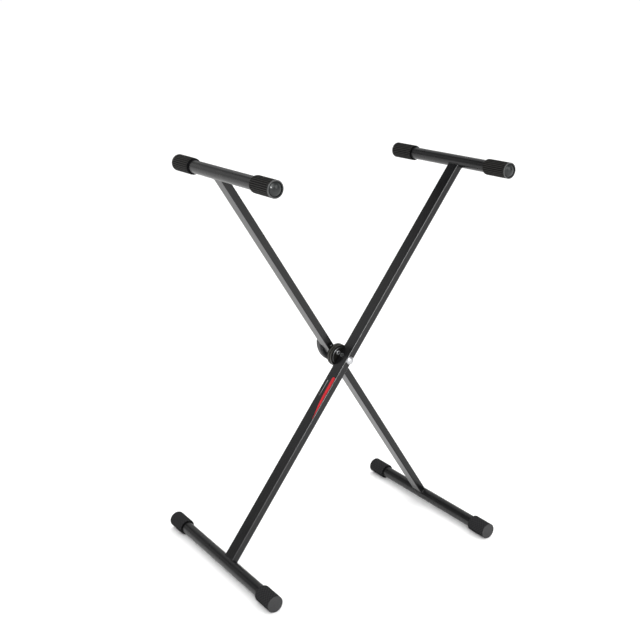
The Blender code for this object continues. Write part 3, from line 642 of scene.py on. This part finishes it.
def weld_path(side, end):
    """Closed line where a leg's rounded section meets the round tube, as evenly spaced points."""
    half_x = LEG_WIDTH / 2
    half_y = LEG_DEPTH / 2
    corners = []
    for sx, sy, start in ((1, 1, 0), (-1, 1, 90), (-1, -1, 180), (1, -1, 270)):
        for i in range(7):
            angle = radians(start + 15 * i)
            corners.append((sx * (half_x - LEG_CORNER) + LEG_CORNER * cos(angle),
                            sy * (half_y - LEG_CORNER) + LEG_CORNER * sin(angle)))
    points = []
    for (ax, ay), (bx, by) in zip(corners, corners[1:] + corners[:1]):
        steps = max(1, round(hypot(bx - ax, by - ay) / WELD_STEP))
        points += [(ax + (bx - ax) * i / steps, ay + (by - ay) * i / steps) for i in range(steps)]
    reach = TUBE_RADIUS + 0.3 * WELD_RADIUS
    return [(x, side * LEG_Y + y, end * (HALF_LEG - sqrt(reach ** 2 - x ** 2))) for x, y in points]


def weld(name, word, end):
    """Fillet weld round a leg's end, with the ripples that the bead leaves as it freezes."""
    points = []
    for i, place in enumerate(weld_path(LEG_SIDES[word], end)):
        ripple = 0.1 * cos(2 * pi * i * WELD_STEP / WELD_RIPPLE) + 0.06 * sin(0.37 * i)
        points.append((*place, 1.0 + ripple))
    bead = wire(name, points, WELD_RADIUS, closed=True)
    fit(bead, LEG_FRAMES[word], BODIES[word], "leg", "leg_paint")


def round_tube(name, word, reach, z, node):
    """Round tube across the end of a leg, open at both ends, its cut edges slightly rounded."""
    piece = cylinder(name, TUBE_RADIUS, -reach, reach, 96)
    edge = 0.3 * MM
    bore = TUBE_RADIUS - TUBE_WALL
    for facing in (-1, 1):
        rings = [(TUBE_RADIUS, facing * reach), (TUBE_RADIUS - edge, facing * reach),
                 (bore, facing * reach), (bore, facing * (reach - TUBE_BORE_DEPTH))]
        draw_end(piece, facing, rings)
    place = LEG_FRAMES[word] @ Matrix.Translation((0, 0, z))
    fit(piece, place, BODIES[word], "tube", "tube_paint", node)


# Foot caps, sleeves and plugs

def foot_cap():
    """Rubber cup: rounded closed end at y = 0, and a rounded shoulder round its open mouth."""
    end = CAP_END_ROUND
    shoulder = CAP_SHOULDER
    mouth = TUBE_RADIUS + CAP_MOUTH_WIDTH
    bore = TUBE_RADIUS + CAP_GAP
    piece = cylinder("foot_cap", CAP_RADIUS, end, CAP_LENGTH - shoulder, 96)
    closed = arc(CAP_RADIUS - end, end, end, 0, -90, 4)
    closed += [(2 * MM, 0.15 * MM), (0, 0.15 * MM)]
    draw_end(piece, -1, closed)
    mouth_rings = arc(CAP_RADIUS - shoulder, CAP_LENGTH - shoulder, shoulder, 0, 90, 6)
    mouth_rings += [(mouth, CAP_LENGTH - 0.3 * MM), (mouth - 0.2 * MM, CAP_LENGTH - CAP_MOUTH_DEPTH),
                    (bore, CAP_LENGTH - CAP_MOUTH_DEPTH), (bore, CAP_END_WALL)]
    draw_end(piece, 1, mouth_rings)

    def on_end(face):
        return face.calc_center_median().y < 0.6 * CAP_END_ROUND
    two_finishes(piece, "foot", "foot_end", on_end)
    return piece


def grip_sleeve():
    """Sleeve with lengthwise ribs, a smooth lip round its mouth at y = 0, and a bore for the arm."""
    groove = SLEEVE_RADIUS - 1.0 * MM
    start = SLEEVE_LIP + 1.4 * MM
    end = SLEEVE_LENGTH - 0.8 * MM
    piece = cylinder("grip_sleeve", SLEEVE_RADIUS, start, end, SLEEVE_RIBS * RIB_SIDES)
    lip = 0.9 * MM
    front = [(SLEEVE_RADIUS, start), (groove, start - 0.6 * MM), (groove, SLEEVE_LIP + 0.3 * MM)]
    front += arc(SLEEVE_RADIUS - lip, SLEEVE_LIP - lip, lip, 90, 0, 3)
    front += arc(SLEEVE_RADIUS - lip, lip, lip, 0, -90, 3)
    draw_end(piece, -1, front)
    draw_end(piece, 1, [(SLEEVE_RADIUS, end), (SLEEVE_RADIUS - 0.4 * MM, SLEEVE_LENGTH - 0.2 * MM),
                        (SLEEVE_RADIUS - 0.9 * MM, SLEEVE_LENGTH)])
    open_piece(piece, "VERT")
    half = RIB_SIDES // 2
    for step in range(1, half + 1):
        def in_valley(vertex, step=step):
            turn = atan2(vertex.co.x, vertex.co.z) * SLEEVE_RIBS * RIB_SIDES / (2 * pi)
            phase = round(turn) % RIB_SIDES
            ribbed = start - 0.1 * MM < vertex.co.y < end + 0.1 * MM
            return ribbed and min(phase, RIB_SIDES - phase) == step
        choose(piece, "verts", in_valley)
        depth = RIB_DEPTH * (1 - cos(pi * step / half)) / 2
        shrink = (SLEEVE_RADIUS - depth) / SLEEVE_RADIUS
        bpy.ops.transform.resize(value=(shrink, 1, shrink), center_override=(0, 0, 0))
    close_piece()
    hole = cylinder("bore", TUBE_RADIUS + SLEEVE_GAP, -OVERCUT, SLEEVE_LENGTH + OVERCUT, 96)
    combine(piece, "DIFFERENCE", hole)
    combine(piece, "DIFFERENCE", cylinder("mouth", SLEEVE_MOUTH_RADIUS, -OVERCUT, SLEEVE_MOUTH_DEPTH, 96))

    def on_lip(face):
        return face.calc_center_median().y < SLEEVE_LIP - 0.05 * MM
    two_finishes(piece, "sleeve", "lip", on_lip)
    return piece


def end_plug():
    """Domed plug with its top at y = 0, a flange on the tube's end, and a barbed stem in the bore."""
    sphere = (PLUG_RADIUS ** 2 + PLUG_DOME ** 2) / (2 * PLUG_DOME)
    wide = atan2(PLUG_RADIUS, sphere - PLUG_DOME)
    seat = PLUG_DOME + PLUG_FLANGE
    piece = cylinder("end_plug", PLUG_RADIUS, PLUG_DOME, seat, 96)
    dome = []
    for i in range(12, 0, -1):
        angle = wide * i / 12
        dome.append((sphere * sin(angle), sphere * (1 - cos(angle))))
    draw_end(piece, -1, dome + [(0.0, 0.0)])
    stem = [(PLUG_RADIUS, seat), (PLUG_STEM_RADIUS, seat)]
    for barb in PLUG_BARB_PLACES:
        stem += [(PLUG_STEM_RADIUS, seat + barb), (PLUG_STEM_RADIUS + PLUG_BARB, seat + barb + 0.3 * MM),
                 (PLUG_STEM_RADIUS, seat + barb + 3.2 * MM)]
    stem += [(PLUG_STEM_RADIUS, seat + PLUG_STEM), (PLUG_STEM_RADIUS - PLUG_WALL, seat + PLUG_STEM),
             (PLUG_STEM_RADIUS - PLUG_WALL, seat + 1.0 * MM)]
    draw_end(piece, 1, stem)
    return piece


def end_place(word, reach, z, end_side):
    """Place at one end of a cross tube, where a piece's own y runs in along the tube."""
    facing = Matrix.Identity(4) if end_side < 0 else HALF_TURN
    turn = Matrix.Rotation(-LEG_TILT if word == "front" else LEG_TILT, 4, "Y")
    return LEG_FRAMES[word] @ Matrix.Translation((0, end_side * reach, z)) @ turn @ facing


def leg_set(word, bar_word, arm_word, cap, sleeve, plug):
    """One leg with its cross tubes, welds, foot caps, sleeves and plugs."""
    leg(word)
    weld(word + "_leg_base_weld", word, -1)
    weld(word + "_leg_arm_weld", word, 1)
    round_tube(bar_word + "_base_tube", word, BAR_REACH, -HALF_LEG, bar_word + "_base_bar")
    round_tube(arm_word + "_arm_tube", word, ARM_TUBE_REACH, HALF_LEG, arm_word + "_support_arm")
    for end_word, end_side in (("front", -1), ("rear", 1)):
        foot = end_place(word, FOOT_REACH, -HALF_LEG, end_side)
        arm = end_place(word, ARM_REACH, HALF_LEG, end_side)
        mouth = end_place(word, ARM_REACH + PLUG_PROUD, HALF_LEG, end_side)
        name = f"{bar_word}_{end_word}_foot"
        fit(copy_of(cap, name), foot, BODIES[word], None, "foot_rubber", name + "_cap")
        name = f"{arm_word}_{end_word}_grip"
        fit(copy_of(sleeve, name), arm, BODIES[word], None, "sleeve_rubber", name + "_sleeve")
        name = f"{arm_word}_{end_word}_plug"
        fit(copy_of(plug, name), mouth, BODIES[word], "plug", "plug_plastic",
            f"{arm_word}_{end_word}_end_plug")


# Clutch

def clutch_plate():
    """Round steel plate with a turned step round its face and an ear up and down the leg, as it lies on the
    rear leg."""
    middle = (PLATE_INNER_Y + PLATE_OUTER_Y) / 2
    thickness = PLATE_OUTER_Y - PLATE_INNER_Y
    step = PLATE_OUTER_Y - PLATE_STEP
    piece = cylinder("clutch_plate", DISC_RADIUS, PLATE_INNER_Y, step, 128)
    draw_end(piece, 1, [(DISC_RADIUS, step), (PLATE_FACE_RADIUS + PLATE_STEP, step),
                        (PLATE_FACE_RADIUS, PLATE_OUTER_Y)])
    size = (2 * EAR_HALF, thickness, 2 * RIVET_DISTANCE)
    combine(piece, "UNION", block("ears", size, (0, middle, 0)))
    for z in (RIVET_DISTANCE, -RIVET_DISTANCE):
        combine(piece, "UNION", cylinder("ear_end", EAR_HALF, PLATE_INNER_Y, PLATE_OUTER_Y, 48, z=z))
    hole = cylinder("bore", BORE_RADIUS, PLATE_INNER_Y - OVERCUT, PLATE_OUTER_Y + OVERCUT, 32)
    combine(piece, "DIFFERENCE", hole)
    round_edges(piece, 0.5 * MM, 2, 50.0)

    def on_step(face):
        centre = face.calc_center_median()
        radius = hypot(centre.x, centre.z) - PLATE_FACE_RADIUS
        sloping = 0.5 < face.normal.y < 0.9
        return sloping and step < centre.y < PLATE_OUTER_Y and -0.2 * MM < radius < PLATE_STEP
    two_finishes(piece, "plate", "edge", on_step)
    return piece


def clutch_disc():
    """Toothed disc with a chamfered rim and a spring pocket, as it lies on the rear plate."""
    edge = 0.8 * MM
    root = DISC_INNER_Y + TOOTH_DEPTH
    piece = cylinder("clutch_disc", DISC_RADIUS, root + edge, DISC_OUTER_Y - edge, 6 * DISC_TEETH)
    draw_end(piece, 1, arc(DISC_RADIUS - edge, DISC_OUTER_Y - edge, edge, 0, 90, 3))
    floor_y = DISC_INNER_Y + POCKET_DEPTH
    face = arc(DISC_RADIUS - edge, root + edge, edge, 0, -90, 3)
    face += [(TOOTH_OUTER, root), (TOOTH_INNER, root), (POCKET_RADIUS, root), (POCKET_RADIUS, floor_y)]
    draw_end(piece, -1, face)
    open_piece(piece)

    def is_tooth(one):
        centre = one.calc_center_median()
        radius = hypot(centre.x, centre.z)
        step = int((atan2(centre.z, centre.x) / (2 * pi) % 1.0) * 6 * DISC_TEETH)
        on_face = abs(centre.y - root) < 0.01 * MM and one.normal.y < -0.9
        return on_face and TOOTH_INNER < radius < TOOTH_OUTER and step % 6 < 3
    choose(piece, "faces", is_tooth)
    bpy.ops.mesh.extrude_region_move(TRANSFORM_OT_translate={"value": (0, -TOOTH_DEPTH, 0)})
    close_piece()
    combine(piece, "DIFFERENCE", cylinder("bore", BORE_RADIUS, 0.0, DISC_OUTER_Y + OVERCUT, 32))
    return piece


def rivet():
    """Domed rivet: its head on the plate's inner face and its tail spread inside the leg's wall."""
    top = PLATE_INNER_Y - HEAD_GAP
    rim = 0.3 * MM
    piece = cylinder("rivet", RIVET_RADIUS, top - rim, top, 32)
    crown = arc(RIVET_RADIUS - RIVET_HEAD + rim, top - rim, RIVET_HEAD - rim, 0, -90, 5)
    draw_end(piece, -1, crown + [(0.5 * MM, top - RIVET_HEAD), (0.0, top - RIVET_HEAD)])
    tail = top + RIVET_LENGTH
    spread = tail - 1.2 * MM
    draw_end(piece, 1, [(RIVET_RADIUS, top), (RIVET_SHANK, top), (RIVET_SHANK, spread), (RIVET_TAIL, spread),
                        (RIVET_SHANK, tail), (0.0, tail)])
    return piece


def disc_screw():
    """Pan-head screw with a six-sided socket, its head on the plate's outer face."""
    seat = PLATE_OUTER_Y + HEAD_GAP
    top = seat + SCREW_HEIGHT
    piece = cylinder("disc_screw", SCREW_RADIUS, seat, top - SCREW_EDGE, 48)
    crown = arc(SCREW_RADIUS - SCREW_EDGE, top - SCREW_EDGE, SCREW_EDGE, 0, 90, 5)
    draw_end(piece, 1, crown + [(SCREW_SOCKET + 0.3 * MM, top)])
    draw_end(piece, -1, [(SCREW_RADIUS, seat), (SCREW_SHANK, seat), (SCREW_SHANK, seat - 4.6 * MM),
                         (SCREW_SHANK - 0.4 * MM, seat - SCREW_LENGTH)])
    combine(piece, "DIFFERENCE", cylinder("socket", SCREW_SOCKET, top - SOCKET_DEPTH, top + OVERCUT, 6))

    # Painted shade: the socket's faces take the near-black socket finish
    def in_socket(face):
        centre = face.calc_center_median()
        return hypot(centre.x, centre.z) < SCREW_SOCKET and seat < centre.y < top - 0.2 * MM
    two_finishes(piece, "screw", "socket", in_socket)
    return piece


def clutch_half(word, plate, disc, rivet_piece, screw):
    """Plate, disc, rivets and screws of one leg; the front half is the rear half turned about z."""
    turn = Matrix.Identity(4) if word == "rear" else HALF_TURN
    place = LEG_FRAMES[word] @ turn
    body = BODIES[word]
    fit(copy_of(plate, word + "_plate"), place, body, None, "plate_paint", word + "_clutch_plate")
    fit(copy_of(disc, word + "_disc"), place, body, "disc", "disc_nylon", word + "_clutch_disc")
    for end_word, z in (("upper", RIVET_DISTANCE), ("lower", -RIVET_DISTANCE)):
        shift = Matrix.Translation((0, 0, z))
        name = f"{word}_{end_word}_rivet"
        fit(copy_of(rivet_piece, name + "_head"), place @ shift, body, "rivet", "rivet_steel", name)
    for number, sign in ((1, 1), (2, -1)):
        shift = Matrix.Translation((sign * SCREW_OFFSET, 0, sign * SCREW_RISE))
        fit(copy_of(screw, f"{word}_screw_{number}"), place @ shift, body, None, "screw_steel",
            f"{word}_disc_screw_{number}")


def release_spring():
    """Three free turns of drawn wire in the pockets of the discs."""
    per_turn = 32
    count = SPRING_TURNS * per_turn
    reach = SPRING_HALF - SPRING_WIRE
    points = []
    for i in range(count + 1):
        angle = 2 * pi * i / per_turn
        y = -reach + 2 * reach * i / count
        points.append((SPRING_RADIUS * cos(angle), y, SPRING_RADIUS * sin(angle), 1.0))
    coil = wire("coil_spring", points, SPRING_WIRE, closed=False)
    fit(coil, LEG_FRAMES["front"], BODIES["front"], "spring", "spring_steel", "release_spring")


# Bolt, bush, washer and knob

def ring(name, inner, outer, y0, y1, edge):
    """Washer, bush or lining: a bored disc with its outer edges rounded."""
    piece = cylinder(name, outer, y0, y1, 96)
    combine(piece, "DIFFERENCE", cylinder("bore", inner, y0 - OVERCUT, y1 + OVERCUT, 64))
    round_edges(piece, edge, 2, 60.0)
    return piece


def pivot_bolt():
    """Domed bolt through both legs, with a square neck and a rolled thread at its far end."""
    sphere = (BOLT_HEAD_RADIUS ** 2 + BOLT_HEAD_HEIGHT ** 2) / (2 * BOLT_HEAD_HEIGHT)
    wide = atan2(BOLT_HEAD_RADIUS, sphere - BOLT_HEAD_HEIGHT)
    top = BOLT_SEAT_Y - BOLT_HEAD_HEIGHT
    rim = BOLT_SEAT_Y - 0.5 * MM
    piece = cylinder("pivot_bolt_domed", BOLT_HEAD_RADIUS, rim, BOLT_SEAT_Y, 96)
    dome = [(BOLT_HEAD_RADIUS, rim)]
    for i in range(17, 0, -1):
        angle = wide * i / 18
        dome.append((sphere * sin(angle), top + sphere * (1 - cos(angle)) * (rim - top) / BOLT_HEAD_HEIGHT))
    draw_end(piece, -1, dome + [(0.0, top)])
    shank = [(BOLT_HEAD_RADIUS, BOLT_SEAT_Y), (BOLT_RADIUS, BOLT_SEAT_Y), (BOLT_RADIUS, THREAD_START_Y)]
    y = THREAD_START_Y
    while y + THREAD_PITCH < BOLT_END_Y - BOLT_CHAMFER:
        shank += [(BOLT_RADIUS - THREAD_DEPTH, y + THREAD_PITCH / 2), (BOLT_RADIUS, y + THREAD_PITCH)]
        y += THREAD_PITCH
    shank += [(BOLT_RADIUS, BOLT_END_Y - BOLT_CHAMFER), (BOLT_RADIUS - BOLT_CHAMFER, BOLT_END_Y)]
    draw_end(piece, 1, shank)
    neck = block("neck", (BOLT_NECK, 4.0 * MM, BOLT_NECK), (0, BOLT_SEAT_Y + 1.0 * MM, 0))
    combine(piece, "UNION", neck)
    return piece


def oval_reach(angle):
    """Distance from the knob's middle to its oval outline in one direction, from the width side."""
    offset = KNOB_SIDE_RADIUS - KNOB_WIDTH / 2
    half_length = KNOB_LENGTH / 2
    tip = (KNOB_SIDE_RADIUS ** 2 - offset ** 2 - half_length ** 2) / (2 * (KNOB_SIDE_RADIUS - half_length))
    rise = half_length - tip
    turn = atan2(rise, offset)
    join = atan2(rise + tip * sin(turn), tip * cos(turn))
    across, along = abs(cos(angle)), abs(sin(angle))
    if atan2(along, across) < join:
        return sqrt((offset * across) ** 2 - offset ** 2 + KNOB_SIDE_RADIUS ** 2) - offset * across
    return rise * along + sqrt((rise * along) ** 2 - rise ** 2 + tip ** 2)


def lock_knob():
    """Oval grip knob with rounded edges, and on its crowned back a groove round a raised middle."""
    flat = KNOB_Y + KNOB_THICKNESS - KNOB_CROWN
    piece = cylinder("lock_knob_oval", KNOB_WIDTH / 2, KNOB_Y, flat, 128)
    for vertex in piece.data.vertices:
        grow = oval_reach(atan2(vertex.co.z, vertex.co.x)) / (KNOB_WIDTH / 2)
        vertex.co.x *= grow
        vertex.co.z *= grow
    open_piece(piece, "EDGE")
    choose(piece, "edges", lambda edge: abs(edge.verts[0].co.y - edge.verts[1].co.y) < 0.01 * MM)
    bpy.ops.mesh.bevel(offset=KNOB_EDGE, segments=5, affect="EDGES")
    close_piece()
    rim = 1 - 2 * KNOB_EDGE / KNOB_WIDTH
    crown = [(rim, 0.0), (0.8, 0.8), (0.72, 1.1), (0.7, 0.6), (0.65, 0.6), (0.63, 1.3), (0.45, 1.8),
             (0.25, 2.1), (0.1, 2.2), (0.0, 2.2)]
    draw_end(piece, 1, [(share, flat + rise * MM) for share, rise in crown])
    hole_end = KNOB_Y + KNOB_THICKNESS - KNOB_BACK_WALL
    combine(piece, "DIFFERENCE", cylinder("bore", INSERT_RADIUS + 0.1 * MM, KNOB_Y - OVERCUT, hole_end, 64))
    return piece


def knurled_insert():
    """Threaded brass insert, its outside pressed in straight knurls that grip the plastic."""
    piece = cylinder("knob_brass_insert", INSERT_RADIUS, KNOB_Y, KNOB_Y + INSERT_LENGTH, INSERT_SIDES)

    def in_groove(vertex):
        return round(atan2(vertex.co.x, vertex.co.z) * INSERT_SIDES / (2 * pi)) % 2
    open_piece(piece, "VERT")
    choose(piece, "verts", in_groove)
    shrink = 1 - KNURL_DEPTH / INSERT_RADIUS
    bpy.ops.transform.resize(value=(shrink, 1, shrink), center_override=(0, 0, 0))
    close_piece()
    hole = cylinder("bore", BORE_RADIUS, KNOB_Y - OVERCUT, KNOB_Y + INSERT_LENGTH + OVERCUT, 48)
    combine(piece, "DIFFERENCE", hole)
    return piece


def clamp():
    """Everything on the pivot's axis between the bolt's head and the knob's back."""
    front, rear = LEG_FRAMES["front"], LEG_FRAMES["rear"]
    fit(pivot_bolt(), front, BODIES["front"], "chrome", "chrome", "pivot_bolt")
    lining = ring("friction_lining", RING_INNER, RING_OUTER, -RING_HALF, RING_HALF, 0.15 * MM)
    fit(lining, front, BODIES["front"], "friction", "friction_fibre", "friction_ring")
    release_spring()
    bush = ring("leg_bush", BORE_RADIUS, BUSH_RADIUS, LEG_INNER_Y, LEG_OUTER_Y, 0.3 * MM)
    fit(bush, rear, BODIES["rear"], "bush", "bush_nylon", "pivot_bush")
    washer = ring("knob_washer", BORE_RADIUS, WASHER_RADIUS, WASHER_Y, WASHER_Y + WASHER_THICKNESS, 0.4 * MM)
    fit(washer, rear, "knob_carriage", "washer", "zinc_steel", "thrust_washer")
    fit(lock_knob(), rear, "clamp_knob", "knob", "knob_plastic", "lock_knob")
    fit(knurled_insert(), rear, "clamp_knob", "brass", "insert_brass", "knob_insert")


# Stripes on the front leg

def stripe(name, finish, corners):
    """Strip of film on the front leg's upper left face, from its corners as (y, z) down the leg."""
    bpy.ops.object.select_all(action="DESELECT")
    bpy.ops.mesh.primitive_circle_add(vertices=len(corners), radius=1.0, fill_type="NGON")
    piece = named(name)
    for vertex, (y, z) in zip(piece.data.vertices, corners):
        vertex.co = (-LEG_WIDTH / 2 - FILM_RISE, y * MM, z * MM)
    solid = piece.modifiers.new("film", "SOLIDIFY")
    solid.thickness = FILM_THICKNESS
    solid.offset = 0.0
    apply_modifiers(piece)
    open_piece(piece)
    bpy.ops.mesh.select_all(action="SELECT")
    bpy.ops.mesh.normals_make_consistent(inside=False)
    close_piece()
    fit(piece, LEG_FRAMES["front"], BODIES["front"], finish, "leg_paint")


def stripes():
    """Red stripe that tapers down the leg, and a thin light line beside its top half."""
    red = [(-27.8, -50.0), (-28.8, -47.6), (-31.0, -46.2), (-34.8, -46.2), (-36.6, -48.4),
           (-37.0, -90.0), (-37.2, -144.0), (-35.2, -130.0), (-31.4, -112.0), (-29.0, -90.0)]
    stripe("leg_stripe_red", "red", red)
    light = [(-18.6, -57.0), (-19.9, -57.0), (-19.7, -92.0), (-19.1, -92.0)]
    stripe("leg_line_light", "light_grey", light)


# Room

def hold_light(name, lamp, place, target):
    """Hang a light in its place, facing a point."""
    holder = bpy.data.objects.new(name, lamp)
    bpy.context.scene.collection.objects.link(holder)
    holder.location = place
    holder.rotation_euler = (Vector(target) - Vector(place)).to_track_quat("-Z", "Y").to_euler()


def soft_box(name, place, target, size, power):
    """Square soft box that shines from its place towards a point."""
    lamp = bpy.data.lights.new(name, "AREA")
    lamp.shape = "SQUARE"
    lamp.size = size
    lamp.energy = power
    hold_light(name, lamp, place, target)


def overhead(name, place, angle, strength):
    """Wide overhead light, far enough away to lay the same brightness on the whole floor."""
    lamp = bpy.data.lights.new(name, "SUN")
    lamp.angle = radians(angle)
    lamp.energy = strength
    hold_light(name, lamp, place, (0, 0, 0))


def surroundings():
    """Even soft light all round. Gloss mirrors the studio's walls instead: grey behind the stand, darker
    to its left and high up, and a bright window high in the wall behind the camera."""
    world = bpy.data.worlds.new("white_studio")
    world.use_nodes = True
    direction = add(world, "TexCoord").outputs["Generated"]
    way = add(world, "SeparateXYZ", {"Vector": direction})
    across = add(world, "MapRange", {"Value": way.outputs["X"], "From Min": -1.0, "From Max": 1.0})
    wall = add(world, "ValToRGB", {"Fac": across.outputs["Result"]})
    stops = wall.color_ramp.elements
    for place, tone in ((0.175, 0.22), (0.275, 0.95), (0.35, 0.95), (0.45, 0.5), (0.625, 0.12), (0.9, 0.12),
                        (0.95, 0.9)):
        stops.new(place).color = (tone, tone, tone, 1.0)
    stops.remove(stops[0])
    stops.remove(stops[-1])
    low = add(world, "MapRange", {"Value": way.outputs["Z"], "From Min": 0.495, "From Max": 0.56,
                                  "To Min": 1.0, "To Max": 0.02})
    behind = add(world, "Math", {0: wall.outputs["Color"], 1: low.outputs["Result"]}, operation="MULTIPLY")
    front = add(world, "MapRange", {"Value": way.outputs["Y"], "From Min": -0.1, "From Max": -0.4,
                                    "To Min": 0.0, "To Max": 4.0})
    left = add(world, "MapRange", {"Value": way.outputs["X"], "From Min": -0.1, "From Max": 0.25,
                                   "To Min": 1.0, "To Max": 0.1})
    high = add(world, "MapRange", {"Value": way.outputs["Z"], "From Min": 0.2, "From Max": 0.36,
                                   "To Min": 0.14, "To Max": 1.0})
    upper = add(world, "Math", {0: high.outputs["Result"], 1: left.outputs["Result"]}, operation="MULTIPLY")
    window = add(world, "Math", {0: front.outputs["Result"], 1: upper.outputs["Value"]}, operation="MULTIPLY")
    mirrored = add(world, "Math", {0: behind.outputs["Value"], 1: window.outputs["Value"]}, operation="ADD")
    glossy = add(world, "LightPath").outputs["Is Glossy Ray"]
    strength = add(world, "Mix", {"Factor": glossy, "A": 1.02, "B": mirrored.outputs["Value"]})
    background = world.node_tree.nodes["Background"]
    background.inputs["Color"].default_value = (1.0, 1.0, 1.0, 1.0)
    world.node_tree.links.new(strength.outputs["Result"], background.inputs["Strength"])
    bpy.context.scene.world = world


def room():
    """White floor with soft boxes above it."""
    bpy.ops.object.select_all(action="DESELECT")
    bpy.ops.mesh.primitive_plane_add(size=40.0, location=(0, 0, -0.5 * MM))
    floor = named("studio_floor")
    floor.data.materials.append(FINISHES["floor"])
    surroundings()
    overhead("overhead_light", (1.4, 1.2, 2.4), 80.0, 0.9)
    soft_box("front_left_box", (-1.6, -3.4, 1.66), (0, 0, 0.6), 0.5, 46.0)
    soft_box("front_right_box", (1.5, -3.3, 1.6), (0, 0, 0.6), 1.7, 26.0)
    soft_box("upper_left_box", (-1.9, -2.2, 2.9), (0, 0, 0.4), 0.6, 22.0)


def camera():
    """Camera at the photograph's viewing angle: left of the front, a little above the pivot."""
    lens = bpy.data.cameras.new("photo_camera")
    lens.lens = CAMERA_LENS
    lens.sensor_width = CAMERA_SENSOR
    lens.clip_start = 0.05
    lens.clip_end = 100.0
    holder = bpy.data.objects.new("photo_camera", lens)
    bpy.context.scene.collection.objects.link(holder)
    aim = (Matrix.Rotation(-CAMERA_HEADING, 4, "Z") @ Matrix.Rotation(pi / 2 - CAMERA_PITCH, 4, "X")
           @ Matrix.Rotation(CAMERA_ROLL, 4, "Z"))
    holder.matrix_world = Matrix.Translation(CAMERA_PLACE) @ aim
    bpy.context.scene.camera = holder


def build():
    """Model every piece, then set the room and the camera."""
    cap, sleeve, plug = foot_cap(), grip_sleeve(), end_plug()
    leg_set("front", "left", "right", cap, sleeve, plug)
    leg_set("rear", "right", "left", cap, sleeve, plug)
    plate, disc, rivet_piece, screw = clutch_plate(), clutch_disc(), rivet(), disc_screw()
    clutch_half("front", plate, disc, rivet_piece, screw)
    clutch_half("rear", plate, disc, rivet_piece, screw)
    for pattern in (cap, sleeve, plug, plate, disc, rivet_piece, screw):
        discard(pattern)
    clamp()
    stripes()
    room()
    camera()
    bpy.context.scene.view_settings.view_transform = "Standard"
    bpy.context.scene.view_settings.look = "None"


build()
bpy.context.view_layer.update()
